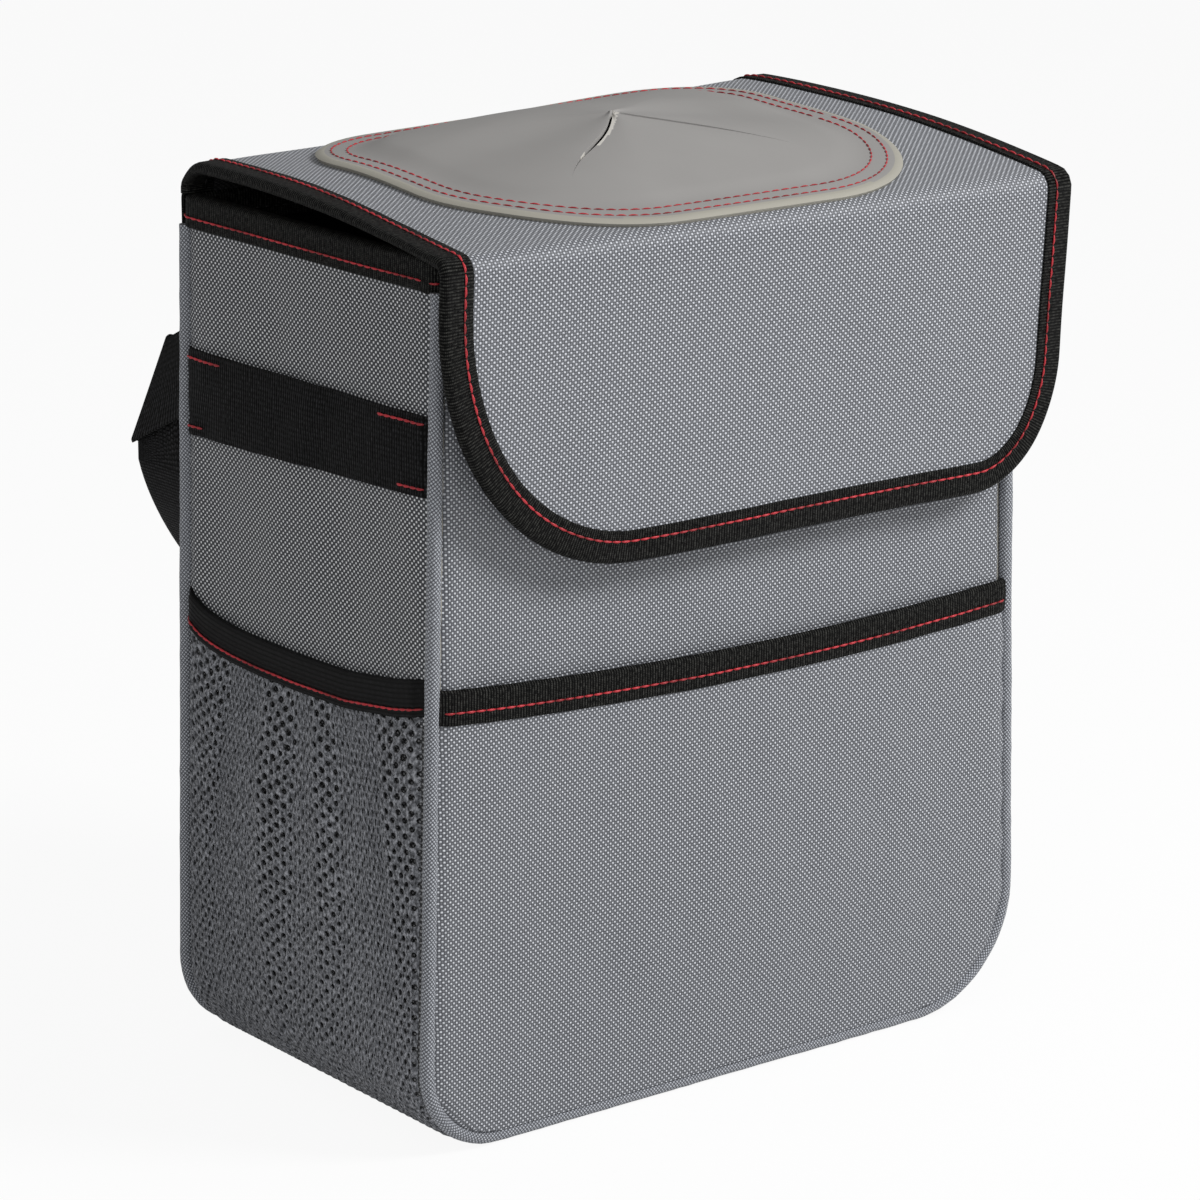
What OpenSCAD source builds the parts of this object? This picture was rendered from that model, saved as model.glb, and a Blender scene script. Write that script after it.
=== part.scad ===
// Soft car trash bin: a stiffened cloth box with a slit-pad lid, a front pocket,
// two mesh side pockets and a webbing strap behind. Origin: centre of the base on the floor.

/* [Body] */
// Width over the side seams at the rim
top_w = 250; // [220:1:290]
// Width over the side seams at the floor
base_w = 267.2; // [250:0.2:300]
// Distance between the outer faces of the front and back panels
depth = 150; // [130:1:180]
// Height of the rim above the floor
body_h = 306; // [290:1:340]
// Radius of the bottom corner on the left
left_corner_r = 30; // [26:1:50]
// Radius of the bottom corner on the right
right_corner_r = 45; // [26:1:50]

/* [Walls] */
// Thickness of the outer cloth
cloth_t = 1.4; // [1:0.1:2]
// Thickness of the wall stiffeners
board_t = 1.6; // [1:0.1:2.4]
// Thickness of the base stiffener
base_board_t = 3; // [2.8:0.1:4]
// Thickness of the waterproof liner
liner_t = 0.8; // [0.5:0.1:1.2]

/* [Piping] */
// Diameter of the corded seam piping
piping_d = 5; // [4:0.1:6]
// How far the piping stands out of the cloth
piping_proud = 1.5; // [1:0.1:2]

/* [Rim binding] */
// Height of the tape folded over the rim
rim_tape_h = 11; // [8:0.5:16]
// Thickness of the folded edge tape
tape_t = 0.8; // [0.5:0.1:1.2]

/* [Front pocket] */
// How far below the rim the front pocket's mouth is sewn in
pocket_drop = 145; // [126:1:186]
// How far the middle of the pocket mouth stands off the panel
pocket_bow = 6; // [5:0.5:9]
// How far the middle of the pocket mouth hangs lower than its ends
pocket_dip = 2.5; // [0:0.5:6]
// Width of the pocket's edge tape
pocket_tape_w = 12; // [8:0.5:16]

/* [Mesh side pockets] */
// How far below the rim the side pockets' mouths are sewn in
mesh_drop = 139; // [126:1:176]
// How far the middle of the side pocket mouth stands off the wall
mesh_bow = 8; // [7:0.5:12]
// How far the middle of the mouth hangs lower than its ends
mesh_dip = 5; // [0:0.5:8]
// Thickness of the mesh
mesh_t = 0.9; // [0.6:0.1:1.4]
// Width of the elastic along the mouth
elastic_w = 13; // [8:0.5:18]
// Thickness of the folded elastic
elastic_t = 2; // [1.4:0.1:2.6]
// Angle that the mesh wraps around the bottom corner
mesh_wrap = 58; // [40:1:66]
// Rows of holes down the mesh
mesh_rows = 11; // [6:1:12]
// Holes in each row
mesh_cols = 10; // [6:1:10]
// Width of a mesh hole across its flats
mesh_hole = 6; // [3:0.5:7]

/* [Side bands] */
// Width of the webbing band sewn across each side
band_w = 29; // [20:1:40]
// How far the band's middle lies below the rim
band_drop = 67; // [50:1:90]
// Thickness of the webbing
webbing_t = 1.4; // [1:0.1:2]

/* [Hanging strap] */
// Width of the strap behind the bin
strap_w = 28; // [20:1:34]
// How far the folded strap reaches behind the back seams
strap_reach = 35.5; // [30:0.5:42]
// How far below the rim the strap's upper edge is sewn in
strap_drop = 48; // [40:1:60]
// How far the loop hangs below that edge
strap_hang = 140; // [110:1:160]

/* [Lid] */
// Width of the lid at its front fold
lid_w = 270; // [260:1:300]
// Width of the lid at its hinge
lid_back_w = 252; // [235:1:256]
// How far the lid's skirt stands in front of the front panel
lid_reach = 17; // [12:1:24]
// Height of the lid's arched top above the rim
lid_rise = 15.5; // [13:0.5:20]
// Radius of the arched top
arch_r = 800; // [700:10:1200]
// Radius of the bend at the back of the lid
back_bend_r = 14; // [11:0.5:15]
// Radius of the front fold
fold_r = 10; // [7:0.5:12]
// Length of the skirt below the fold
skirt_l = 100.5; // [80:0.5:115]
// Angle at which the skirt hangs inwards
skirt_lean = 3.5; // [0:0.5:4]
// Radius of the skirt's lower corners
skirt_corner_r = 50; // [30:1:60]
// Thickness of the lid's padding
padding_t = 1.6; // [1:0.1:2.4]
// Width of the lid's edge tape
lid_tape_w = 12; // [9:0.5:15]

/* [Inlet pad] */
// Cloth left free on each side between the slit pad and the lid's narrow back end
pad_end_margin = 29; // [20:1:40]
// Cloth left free in front of and behind the slit pad, between it and the lid's edges
pad_front_margin = 11; // [11:1:24]
// Corner radius of the pad
pad_corner_r = 52; // [30:1:55]
// Thickness of the pad
pad_t = 2.2; // [1.6:0.1:3]
// Width of the sewn flange around the pad
pad_flange = 18; // [14:1:22]
// How far the pad's middle is pushed up
pad_rise = 13.5; // [6:0.5:16]
// Width of the crossed slits
slit_w = 1.2; // [0.8:0.1:2]
// Length of each slit from the middle of the pad
slit_l = 60; // [40:1:70]

/* [Fastener] */
// Length of the hook and loop tapes under the skirt
fastener_l = 80; // [40:1:120]
// Height of the hook and loop tapes
fastener_h = 20; // [15:1:25]
// Thickness of each tape
fastener_t = 1.8; // [1.2:0.1:2.2]

/* [Fit] */
// Gap between sewn pieces that touch along curved faces
seam_gap = 0.1; // [0.05:0.05:0.3]
// Gap between the rim and the moving lid
lid_gap = 0.6; // [0.3:0.1:1]

/* [Hidden] */
$fn = 64;

oxford = "#8a8d92";
black = "#232324";
mesh_grey = "#4a4b4e";
pad_grey = "#949290";
board_grey = "#c9c9c4";

// Lean of the side walls: how much the half width grows for each millimetre down
lean = (base_w - top_w) / 2 / body_h;
slant = sqrt(1 + lean * lean);
lean_deg = atan(lean);
half_d = depth / 2;
piping_r = piping_d / 2;
// Depth of each layer below the outermost line of the side seams
gusset_in = piping_proud;
board_in = gusset_in + cloth_t;
liner_in = board_in + board_t;
inner_in = liner_in + liner_t;
// Planes of the front layers, measured outwards from the middle of the bin
panel_y = half_d - cloth_t;
board_y = panel_y - board_t;
liner_y = board_y - liner_t;
piping_y = half_d - piping_r + piping_proud;
gusset_y = piping_y - piping_r;
wall_top = body_h - tape_t;
piping_top = body_h - rim_tape_h - 1;
// Gap at the ends of pieces that are sewn in between the two pipings
end_gap = 2 * seam_gap;
facets = 14;
corner_steps = 16;
corner_turn = (90 + lean_deg) / corner_steps;

function half_w(z) = top_w / 2 + lean * (body_h - z);
function side_x(z, inset) = half_w(z) - inset * slant;
// The next ones take the radius of the bottom corner on their side, as corner
function corner_x(corner, side_in, base_in) = side_x(corner, side_in + corner - base_in);
// Half width of the rounded outline at height z
function outline_x(corner, z, side_in, base_in) =
    let (r = corner - base_in, drop = corner - z, top = corner + r * lean / slant)
    z >= top ? side_x(z, side_in)
             : corner_x(corner, side_in, base_in) + sqrt(max(0, r * r - drop * drop));

// Places its flat child between two planes across the depth
module along_y(y0, y1) {
    translate([0, y1, 0]) rotate([90, 0, 0]) linear_extrude(y1 - y0) children();
}

// Places its flat child, drawn as depth and height, between two planes across the width
module along_x(x0, x1) {
    translate([x0, 0, 0]) rotate([90, 0, 90]) linear_extrude(x1 - x0) children();
}

module both_sides() {
    children();
    mirror([1, 0, 0]) children();
}

// Arc of a right bottom corner, from the side wall to the base
function corner_line(corner, side_in, base_in) =
    let (r = corner - base_in, c = [corner_x(corner, side_in, base_in), corner])
    [for (i = [0 : corner_steps])
        c + r * [cos(lean_deg - i * corner_turn), sin(lean_deg - i * corner_turn)]];

// Front outline of the box from the top of its right side, around both rounded corners,
// to the top of its left side
function outline_line(side_in, base_in, top) =
    let (left = corner_line(left_corner_r, side_in, base_in))
    concat(
        [[side_x(top, side_in), top]], corner_line(right_corner_r, side_in, base_in),
        [for (i = [corner_steps : -1 : 0]) [-left[i][0], left[i][1]]],
        [[-side_x(top, side_in), top]]
    );

module outline(side_in, base_in, top) {
    polygon(outline_line(side_in, base_in, top));
}

// Leaning plate on the left wall between two insets
module left_slab(in0, in1, z0, z1, half_y) {
    along_y(-half_y, half_y) polygon([
        [-side_x(z0, in0), z0], [-side_x(z0, in1), z0],
        [-side_x(z1, in1), z1], [-side_x(z1, in0), z1]
    ]);
}

// Closed sheet between two surfaces, each a function of u and v from 0 to 1
module skin(nu, nv, outer, inner) {
    count = (nu + 1) * (nv + 1);
    function at(k, i, j) = k * count + j * (nu + 1) + i;
    points = [
        for (face = [outer, inner]) for (j = [0 : nv]) for (i = [0 : nu]) face(i / nu, j / nv)
    ];
    triangles = [
        for (j = [0 : nv - 1]) for (i = [0 : nu - 1]) each [
            [at(0, i, j), at(0, i, j + 1), at(0, i + 1, j + 1)],
            [at(0, i, j), at(0, i + 1, j + 1), at(0, i + 1, j)],
            [at(1, i, j), at(1, i + 1, j + 1), at(1, i, j + 1)],
            [at(1, i, j), at(1, i + 1, j), at(1, i + 1, j + 1)]
        ]
    ];
    ends = [
        for (i = [0 : nu - 1]) each [
            [at(0, i, 0), at(0, i + 1, 0), at(1, i + 1, 0)],
            [at(0, i, 0), at(1, i + 1, 0), at(1, i, 0)],
            [at(0, i + 1, nv), at(0, i, nv), at(1, i, nv)],
            [at(0, i + 1, nv), at(1, i, nv), at(1, i + 1, nv)]
        ]
    ];
    sides = [
        for (j = [0 : nv - 1]) each [
            [at(1, 0, j), at(1, 0, j + 1), at(0, 0, j + 1)],
            [at(1, 0, j), at(0, 0, j + 1), at(0, 0, j)],
            [at(0, nu, j), at(0, nu, j + 1), at(1, nu, j + 1)],
            [at(0, nu, j), at(1, nu, j + 1), at(1, nu, j)]
        ]
    ];
    polyhedron(points, concat(triangles, ends, sides), convexity = 6);
}

// Body panels and stiffeners

module front_panel() {
    color(oxford) along_y(-half_d, -panel_y) outline(piping_d, piping_d, wall_top);
}

module back_panel() {
    color(oxford) along_y(panel_y, half_d) outline(piping_d, piping_d, wall_top);
}

// One strip of cloth runs down the left side, under the base and up the right side
module gusset() {
    color(oxford) along_y(-gusset_y, gusset_y) difference() {
        outline(gusset_in, 0, wall_top);
        outline(board_in, cloth_t, wall_top + 1);
    }
}

board_edge = piping_d + 0.5;
// Length of wall above the bottom corner that the side boards leave free
board_foot = 4;

module front_board() {
    color(board_grey) along_y(-panel_y, -board_y) outline(board_edge, board_edge, wall_top);
}

module back_board() {
    color(board_grey) along_y(board_y, panel_y) outline(board_edge, board_edge, wall_top);
}

module side_board(corner) {
    color(board_grey) left_slab(board_in, liner_in, corner + board_foot, wall_top,
                                 gusset_y - end_gap);
}

module left_board() {
    side_board(left_corner_r);
}

module right_board() {
    mirror([1, 0, 0]) side_board(right_corner_r);
}

module base_board() {
    left = -corner_x(left_corner_r, board_in, cloth_t);
    right = corner_x(right_corner_r, board_in, cloth_t);
    half_y = gusset_y - end_gap;
    color(board_grey) translate([left, -half_y, cloth_t])
        cube([right - left, 2 * half_y, base_board_t]);
}

// Waterproof liner: a seamless open box inside the stiffeners
module liner() {
    base_in = cloth_t + base_board_t;
    color(black) difference() {
        along_y(-board_y, board_y) outline(liner_in, base_in, wall_top);
        along_y(-liner_y, liner_y) outline(inner_in, base_in + liner_t, wall_top + 1);
    }
}

module rounded_rect(half_x, half_y, r) {
    difference() {
        square([2 * half_x, 2 * half_y], center = true);
        for (sx = [-1, 1]) for (sy = [-1, 1]) translate([sx * half_x, sy * half_y])
            square(2 * r, center = true);
    }
    for (sx = [-1, 1]) for (sy = [-1, 1]) translate([sx * (half_x - r), sy * (half_y - r)])
        circle(r);
}

// All the layers of the four walls, from the cloth to the liner
module wall_layers() {
    difference() {
        union() {
            along_y(-gusset_y, gusset_y) outline(gusset_in, 0, wall_top);
            along_y(-board_y, board_y) outline(liner_in, cloth_t, wall_top);
            along_y(-half_d, half_d) outline(piping_d, piping_d, wall_top);
        }
        along_y(-liner_y, liner_y) outline(inner_in, cloth_t, wall_top + 1);
    }
}

// Tape folded over the rim of all four walls, around the layers that it binds
module rim_binding() {
    z0 = body_h - rim_tape_h;
    inner_x = side_x(body_h, inner_in + tape_t);
    color(black) difference() {
        translate([0, 0, z0]) linear_extrude(rim_tape_h) difference() {
            rounded_rect(side_x(z0, 0), half_d + tape_t, piping_d);
            square([2 * inner_x, 2 * (liner_y - tape_t)], center = true);
        }
        wall_layers();
    }
}

// Corded piping around the front panel: down the left seam, under the front edge and up again
module piping() {
    line = outline_line(piping_r, piping_r, piping_top);
    last = len(line) - 1;
    sides = 12;
    heading = [for (i = [0 : last]) let (d = line[min(last, i + 1)] - line[max(0, i - 1)])
        d / norm(d)];
    ring = [for (i = [0 : last]) for (k = [0 : sides - 1])
        let (a = 360 * k / sides, out = piping_r * cos(a))
        [line[i][0] - out * heading[i][1], -piping_y + piping_r * sin(a),
         line[i][1] + out * heading[i][0]]];
    wall = [for (i = [0 : last - 1]) for (k = [0 : sides - 1])
        let (a = i * sides + k, b = i * sides + (k + 1) % sides)
        each [[a, b, b + sides], [a, b + sides, a + sides]]];
    caps = [[for (k = [sides - 1 : -1 : 0]) k],
            [for (k = [0 : sides - 1]) last * sides + k]];
    color(oxford) polyhedron(ring, concat(wall, caps), convexity = 4);
}

module front_piping() {
    piping();
}

module back_piping() {
    mirror([0, 1, 0]) piping();
}

// Front pocket: a bowed sheet sewn into the piping seam, with a taped mouth

pocket_low = piping_d;
pocket_seam = body_h - pocket_drop - pocket_tape_w;
function arch(u) = 1 - pow(2 * u - 1, 2);
function pocket_mouth(u) = pocket_dip * arch(u);
function pocket_off(u, z) =
    pocket_bow * arch(u) * sin(90 * max(0, min(1, (z - pocket_low) / (pocket_seam - pocket_low))));
function pocket_at(u, z, off) = [
    u * outline_x(right_corner_r, z, piping_d, piping_d)
        - (1 - u) * outline_x(left_corner_r, z, piping_d, piping_d),
    -half_d - seam_gap - pocket_off(u, z) - off, z
];
function pocket_z(u, v) =
    pocket_low + (pocket_seam - pocket_mouth(u) - pocket_low) * pow(v, 1.5);

module front_pocket() {
    outer = function(u, v) pocket_at(u, pocket_z(u, v), cloth_t);
    inner = function(u, v) pocket_at(u, pocket_z(u, v), 0);
    color(oxford) skin(20, facets, outer, inner);
}

module front_pocket_tape() {
    lift = function(u, v) pocket_seam - pocket_mouth(u) + seam_gap / 2
        + (pocket_tape_w - seam_gap) * v;
    outer = function(u, v) pocket_at(u, lift(u, v), cloth_t + tape_t);
    inner = function(u, v) pocket_at(u, lift(u, v), 0);
    color(black) skin(20, 2, outer, inner);
}

// Mesh side pocket: follows the wall down and around the bottom corner

mesh_seam = body_h - mesh_drop - elastic_w;
mesh_half_y = gusset_y - end_gap;
function wall_tangent_z(corner) = corner + corner * lean / slant;
function mesh_straight(corner) = (mesh_seam - wall_tangent_z(corner)) * slant;
function mesh_run(corner) = mesh_straight(corner) + corner * mesh_wrap * PI / 180;
// Point on the left wall at a distance down from the mesh seam, lifted off by off
function wall_at(corner, s, off) =
    let (straight = mesh_straight(corner), centre = -corner_x(corner, gusset_in, 0))
    s <= straight
        ? let (z = mesh_seam - s / slant)
          [-side_x(z, gusset_in) - off / slant, z + off * lean / slant]
        : let (turn = 180 - lean_deg + (s - straight) / corner * 180 / PI)
          [centre + (corner + off) * cos(turn), corner + (corner + off) * sin(turn)];
function mesh_at(corner, u, s, off) =
    let (down = max(0, s) / mesh_run(corner),
         p = wall_at(corner, s + mesh_dip * arch(u) * (1 - down),
                     seam_gap + mesh_bow * arch(u) * (1 - pow(down, 1.4)) + off))
    [p[0], mesh_half_y * (1 - 2 * u), p[1]];

// Six-sided holes in staggered rows, as in knitted air mesh
module mesh_holes(corner) {
    pitch_y = 2 * mesh_half_y / (mesh_cols + 1);
    pitch_z = (mesh_seam - mesh_dip - wall_tangent_z(corner)) / (mesh_rows + 1);
    for (row = [1 : mesh_rows]) for (col = [1 : mesh_cols])
        translate([-half_w(0) - 2 * mesh_bow,
                   (col - (row % 2 == 0 ? 0.75 : 0.25) - mesh_cols / 2) * pitch_y,
                   mesh_seam - mesh_dip - row * pitch_z])
            rotate([0, 90, 0]) cylinder(h = half_w(0), d = mesh_hole * 2 / sqrt(3), $fn = 6);
}

module mesh_sheet(corner) {
    run = mesh_run(corner);
    outer = function(u, v) mesh_at(corner, u, run * (1 - v), mesh_t);
    inner = function(u, v) mesh_at(corner, u, run * (1 - v), 0);
    color(mesh_grey) difference() {
        skin(12, 2 * facets, outer, inner);
        mesh_holes(corner);
    }
}

module left_mesh() {
    mesh_sheet(left_corner_r);
}

module right_mesh() {
    mirror([1, 0, 0]) mesh_sheet(right_corner_r);
}

module left_elastic() {
    lift = function(v) -seam_gap - (elastic_w - seam_gap) * v;
    outer = function(u, v) mesh_at(left_corner_r, u, lift(v), elastic_t);
    inner = function(u, v) mesh_at(left_corner_r, u, lift(v), 0);
    color(black) skin(16, 2, outer, inner);
}

module right_elastic() {
    mirror([1, 0, 0]) left_elastic();
}

// Webbing band sewn flat across each side wall
band_z = body_h - band_drop;
module left_band() {
    color(black)
        left_slab(gusset_in - webbing_t, gusset_in, band_z - band_w / 2, band_z + band_w / 2,
                  gusset_y - end_gap);
}

module right_band() {
    mirror([1, 0, 0]) left_band();
}

// Hanging strap: leaves each back seam rearwards, folds over and hangs in a loop.
// A station is the strap's inner edge, its outer edge and the direction its face looks.

strap_y = half_d + piping_proud + seam_gap;
strap_x = side_x(band_z, piping_r);
strap_droop = 24;
strap_z = body_h - strap_drop;
strap_low = strap_z - strap_hang;
strap_end_z = strap_z - strap_w / cos(strap_droop);
// The fold: radius, how far its upper corner lies below the seam, and its two ends
turn_r = 1.3;
turn_drop = 4;
turn_steps = 6;
turn_outer = [half_d + strap_reach, strap_end_z - strap_reach * tan(strap_droop)];
turn_inner = [turn_outer[0] - strap_w * cos(strap_droop), strap_z - turn_drop];
turn_dir = (turn_inner - turn_outer) / norm(turn_inner - turn_outer);
turn_away = [turn_dir[1], -turn_dir[0]];
// The loop: how far under the fold it starts, how it leans inwards, how high its knee
// stands and how full its bottom is
loop_x = strap_x - 2 * turn_r;
loop_neck = 6;
loop_top = turn_outer[1] - loop_neck;
loop_lean = 10;
loop_knee = 42;
loop_full = 0.5;
loop_steps = 16;
// Middle line of the loop, as width and height, from under the fold to the middle of the back
function loop_at(t) =
    let (p0 = [loop_x, loop_top], p1 = [loop_x - loop_lean, strap_low + loop_knee],
         p2 = [loop_x * loop_full, strap_low], p3 = [0, strap_low], s = 1 - t)
    s * s * s * p0 + 3 * s * s * t * p1 + 3 * s * t * t * p2 + t * t * t * p3;
function loop_heading(t) =
    let (d = loop_at(min(1, t + 0.01)) - loop_at(max(0, t - 0.01))) d / norm(d);
function turn_at(p, a) =
    [strap_x - turn_r * (1 - cos(a)), p[0] + turn_r * sin(a) * turn_away[0],
     p[1] + turn_r * sin(a) * turn_away[1]];
half_strap = concat(
    [[[strap_x, strap_y, strap_z], [strap_x, strap_y, strap_end_z], [-1, 0, 0]]],
    [for (i = [0 : turn_steps]) let (a = 180 * i / turn_steps)
        [turn_at(turn_inner, a), turn_at(turn_outer, a),
         [-cos(a), -sin(a) * turn_away[0], -sin(a) * turn_away[1]]]],
    [for (i = [0 : loop_steps])
        let (t = i / loop_steps, p = loop_at(t), d = loop_heading(t))
        [[p[0], turn_outer[0] - strap_w, p[1]], [p[0], turn_outer[0], p[1]],
         [-d[1], 0, d[0]]]]
);
strap_count = len(half_strap);
function flip_x(p) = [-p[0], p[1], p[2]];
strap_stations = concat(
    half_strap,
    [for (i = [strap_count - 2 : -1 : 0]) [for (p = half_strap[i]) flip_x(p)]]
);

module hanging_strap() {
    last = len(strap_stations) - 1;
    face = function(u, v, side) let (s = strap_stations[round(v * last)])
        s[0] + u * (s[1] - s[0]) + side * webbing_t / 2 * s[2];
    color(black) skin(1, last, function(u, v) face(u, v, 1), function(u, v) face(u, v, -1));
}

// Lid: one arched sheet from the hinge over the front fold to the skirt's lower edge.
// Its layers are drawn as depth and height and run the whole width.

lid_t = cloth_t + padding_t + liner_t;
// How far the lid's back lies inside the back panel, and the arch's top in front of the bend
lid_set_in = 1;
arch_set_in = 10;
lid_back_y = half_d - lid_set_in;
arch_y = lid_back_y - back_bend_r - arch_set_in;
arch_z = body_h + lid_rise - arch_r;
skirt_y = -half_d - lid_reach;
bend_y = lid_back_y - back_bend_r;
bend_z = arch_z + sqrt(pow(arch_r - back_bend_r, 2) - pow(bend_y - arch_y, 2));
fold_y = skirt_y + fold_r;
fold_z = arch_z + sqrt(pow(arch_r - fold_r, 2) - pow(fold_y - arch_y, 2));
lid_start_z = body_h + lid_gap;
skirt_z = fold_z - skirt_l;
function top_z(y) = arch_z + sqrt(arch_r * arch_r - pow(y - arch_y, 2));
function round_at(c, r, angle) = c + r * [cos(angle), sin(angle)];
bend_end = 90 - asin((bend_y - arch_y) / (arch_r - back_bend_r));
fold_start = 90 + asin((arch_y - fold_y) / (arch_r - fold_r));
skirt_dir = [sin(skirt_lean), -cos(skirt_lean)];
skirt_in = [cos(skirt_lean), sin(skirt_lean)];
skirt_start = round_at([fold_y, fold_z], fold_r, 180 + skirt_lean);
function skirt_at(s, off) = skirt_start + s * skirt_dir + off * skirt_in;
// Line through the lid at a depth below its outer face
function lid_line(off) = concat(
    [[lid_back_y - off, lid_start_z]],
    [for (i = [0 : 6]) round_at([bend_y, bend_z], back_bend_r - off, i * bend_end / 6)],
    [for (i = [1 : 11]) let (a = bend_end + (fold_start - bend_end) * i / 12)
        round_at([arch_y, arch_z], arch_r - off, a)],
    [for (i = [0 : 6]) round_at([fold_y, fold_z], fold_r - off,
        fold_start + (180 + skirt_lean - fold_start) * i / 6)],
    [skirt_at(skirt_l, off)]
);
function backwards(line) = [for (i = [len(line) - 1 : -1 : 0]) line[i]];

module lid_layer(off0, off1) {
    along_x(-lid_w, lid_w) polygon(concat(lid_line(off0), backwards(lid_line(off1))));
}

// Everything inside the lid's edge, set in by inset
module lid_outline(inset) {
    r = skirt_corner_r - inset;
    half = lid_w / 2 - inset;
    low = skirt_z + inset;
    intersection() {
        along_y(-depth, depth) {
            translate([-half, low + r]) square([2 * half, lid_w]);
            translate([r - half, low]) square([2 * half - 2 * r, lid_w]);
            for (x = [r - half, half - r]) translate([x, low + r]) circle(r);
        }
        linear_extrude(2 * body_h) polygon([
            [-half, -depth], [half, -depth], [half, skirt_y],
            [lid_back_w / 2 - inset, half_d], [-lid_back_w / 2 + inset, half_d],
            [-half, skirt_y]
        ]);
    }
}

// Size of the pad, and its middle, which is that of the opening under it too and lies a
// little in front of the lid's own
pad_l = lid_back_w - 2 * pad_end_margin;
pad_d = lid_back_y - skirt_y - 2 * pad_front_margin;
pad_ahead = 2;
pad_y = (lid_back_y + skirt_y) / 2 - pad_ahead;
mouth_l = pad_l / 2 - pad_flange;
mouth_d = pad_d / 2 - pad_flange;

// Opening through the lid that the slit pad spans
module lid_mouth() {
    translate([0, pad_y, 0]) linear_extrude(2 * body_h)
        rounded_rect(mouth_l, mouth_d, pad_corner_r - pad_flange);
}

module lid_sheet(off0, off1) {
    difference() {
        intersection() {
            lid_layer(off0, off1);
            lid_outline(tape_t);
        }
        lid_mouth();
    }
}

module lid_cover() {
    color(oxford) lid_sheet(0, cloth_t);
}

module lid_padding() {
    color(board_grey) lid_sheet(cloth_t, cloth_t + padding_t);
}

module lid_lining() {
    color(black) lid_sheet(cloth_t + padding_t, lid_t);
}

// Tape folded around the lid's two sides and the skirt
module lid_binding() {
    color(black) difference() {
        intersection() {
            lid_layer(-tape_t, lid_t + tape_t);
            lid_outline(0);
        }
        intersection() {
            lid_layer(0, lid_t);
            lid_outline(tape_t);
        }
        lid_outline(lid_tape_w);
    }
}

// Tape that hinges the lid on the back of the rim, sewn around the lid's back bend
module hinge_tape() {
    half = lid_back_w / 2 - lid_tape_w;
    outer = lid_line(-tape_t);
    inner = lid_line(0);
    steps = 5;
    color(black) along_x(-half, half) polygon(concat(
        [for (i = [0 : steps]) outer[i]], [for (i = [steps : -1 : 0]) inner[i]]
    ));
}

// Slit pad: a soft sheet, flat where it is sewn on, pushed up in the middle
function pad_lift(x, y) =
    pad_rise * pow(max(0, 1 - max(abs(x) / mouth_l, abs(y) / mouth_d)), 0.9);
function pad_at(u, v, off) =
    let (x = (2 * u - 1) * pad_l / 2, y = (2 * v - 1) * pad_d / 2)
    [x, pad_y + y, top_z(pad_y + y) + seam_gap + pad_lift(x, y) + off];

module inlet_pad() {
    outer = function(u, v) pad_at(u, v, pad_t);
    inner = function(u, v) pad_at(u, v, 0);
    slit_turn = atan2(mouth_d, mouth_l);
    color(pad_grey) difference() {
        intersection() {
            skin(26, 20, outer, inner);
            translate([0, pad_y, 0]) linear_extrude(2 * body_h)
                rounded_rect(pad_l / 2, pad_d / 2, pad_corner_r);
        }
        for (turn = [slit_turn, -slit_turn]) translate([0, pad_y, body_h])
            rotate([0, 0, turn]) cube([2 * slit_l, slit_w, body_h], center = true);
    }
}

// Hook and loop tapes that keep the skirt closed
fastener_low = lid_tape_w + end_gap;
fastener_z = skirt_z + fastener_low;

module loop_tape() {
    color(black) translate([-fastener_l / 2, -half_d - fastener_t, fastener_z])
        cube([fastener_l, fastener_t, fastener_h]);
}

module hook_tape() {
    s1 = skirt_l - fastener_low;
    s0 = s1 - fastener_h;
    color(black) along_x(-fastener_l / 2, fastener_l / 2) polygon([
        skirt_at(s0, lid_t), skirt_at(s1, lid_t),
        skirt_at(s1, lid_t + fastener_t), skirt_at(s0, lid_t + fastener_t)
    ]);
}

front_panel();
back_panel();
gusset();
front_board();
back_board();
left_board();
right_board();
base_board();
liner();
rim_binding();
front_piping();
back_piping();
front_pocket();
front_pocket_tape();
left_mesh();
right_mesh();
left_elastic();
right_elastic();
left_band();
right_band();
hanging_strap();
loop_tape();
lid_cover();
lid_padding();
lid_lining();
lid_binding();
hinge_tape();
inlet_pad();
hook_tape();
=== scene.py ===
import math

import bpy
import numpy as np
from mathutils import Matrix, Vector


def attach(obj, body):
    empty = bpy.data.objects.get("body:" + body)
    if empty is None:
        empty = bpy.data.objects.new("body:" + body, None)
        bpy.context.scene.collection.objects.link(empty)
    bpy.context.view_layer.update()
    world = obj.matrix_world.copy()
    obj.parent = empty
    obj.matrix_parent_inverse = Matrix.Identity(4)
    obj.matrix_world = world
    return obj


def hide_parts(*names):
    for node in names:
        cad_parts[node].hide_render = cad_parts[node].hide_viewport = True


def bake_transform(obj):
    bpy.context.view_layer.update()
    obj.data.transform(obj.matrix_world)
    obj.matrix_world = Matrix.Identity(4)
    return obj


# A soft car trash bin. All sizes below are millimetres in the frame's own axes: X to the right
# seen from the front, Y to the back, Z up, with the middle of the base at the origin.

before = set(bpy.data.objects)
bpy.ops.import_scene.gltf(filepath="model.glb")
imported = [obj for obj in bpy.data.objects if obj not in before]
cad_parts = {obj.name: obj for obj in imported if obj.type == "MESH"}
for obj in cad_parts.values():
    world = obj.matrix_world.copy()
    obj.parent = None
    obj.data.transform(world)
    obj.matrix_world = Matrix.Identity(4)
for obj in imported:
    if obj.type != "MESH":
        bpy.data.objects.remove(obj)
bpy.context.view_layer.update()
MM = 0.001
PI = math.pi


# Camera, light and floor

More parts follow.
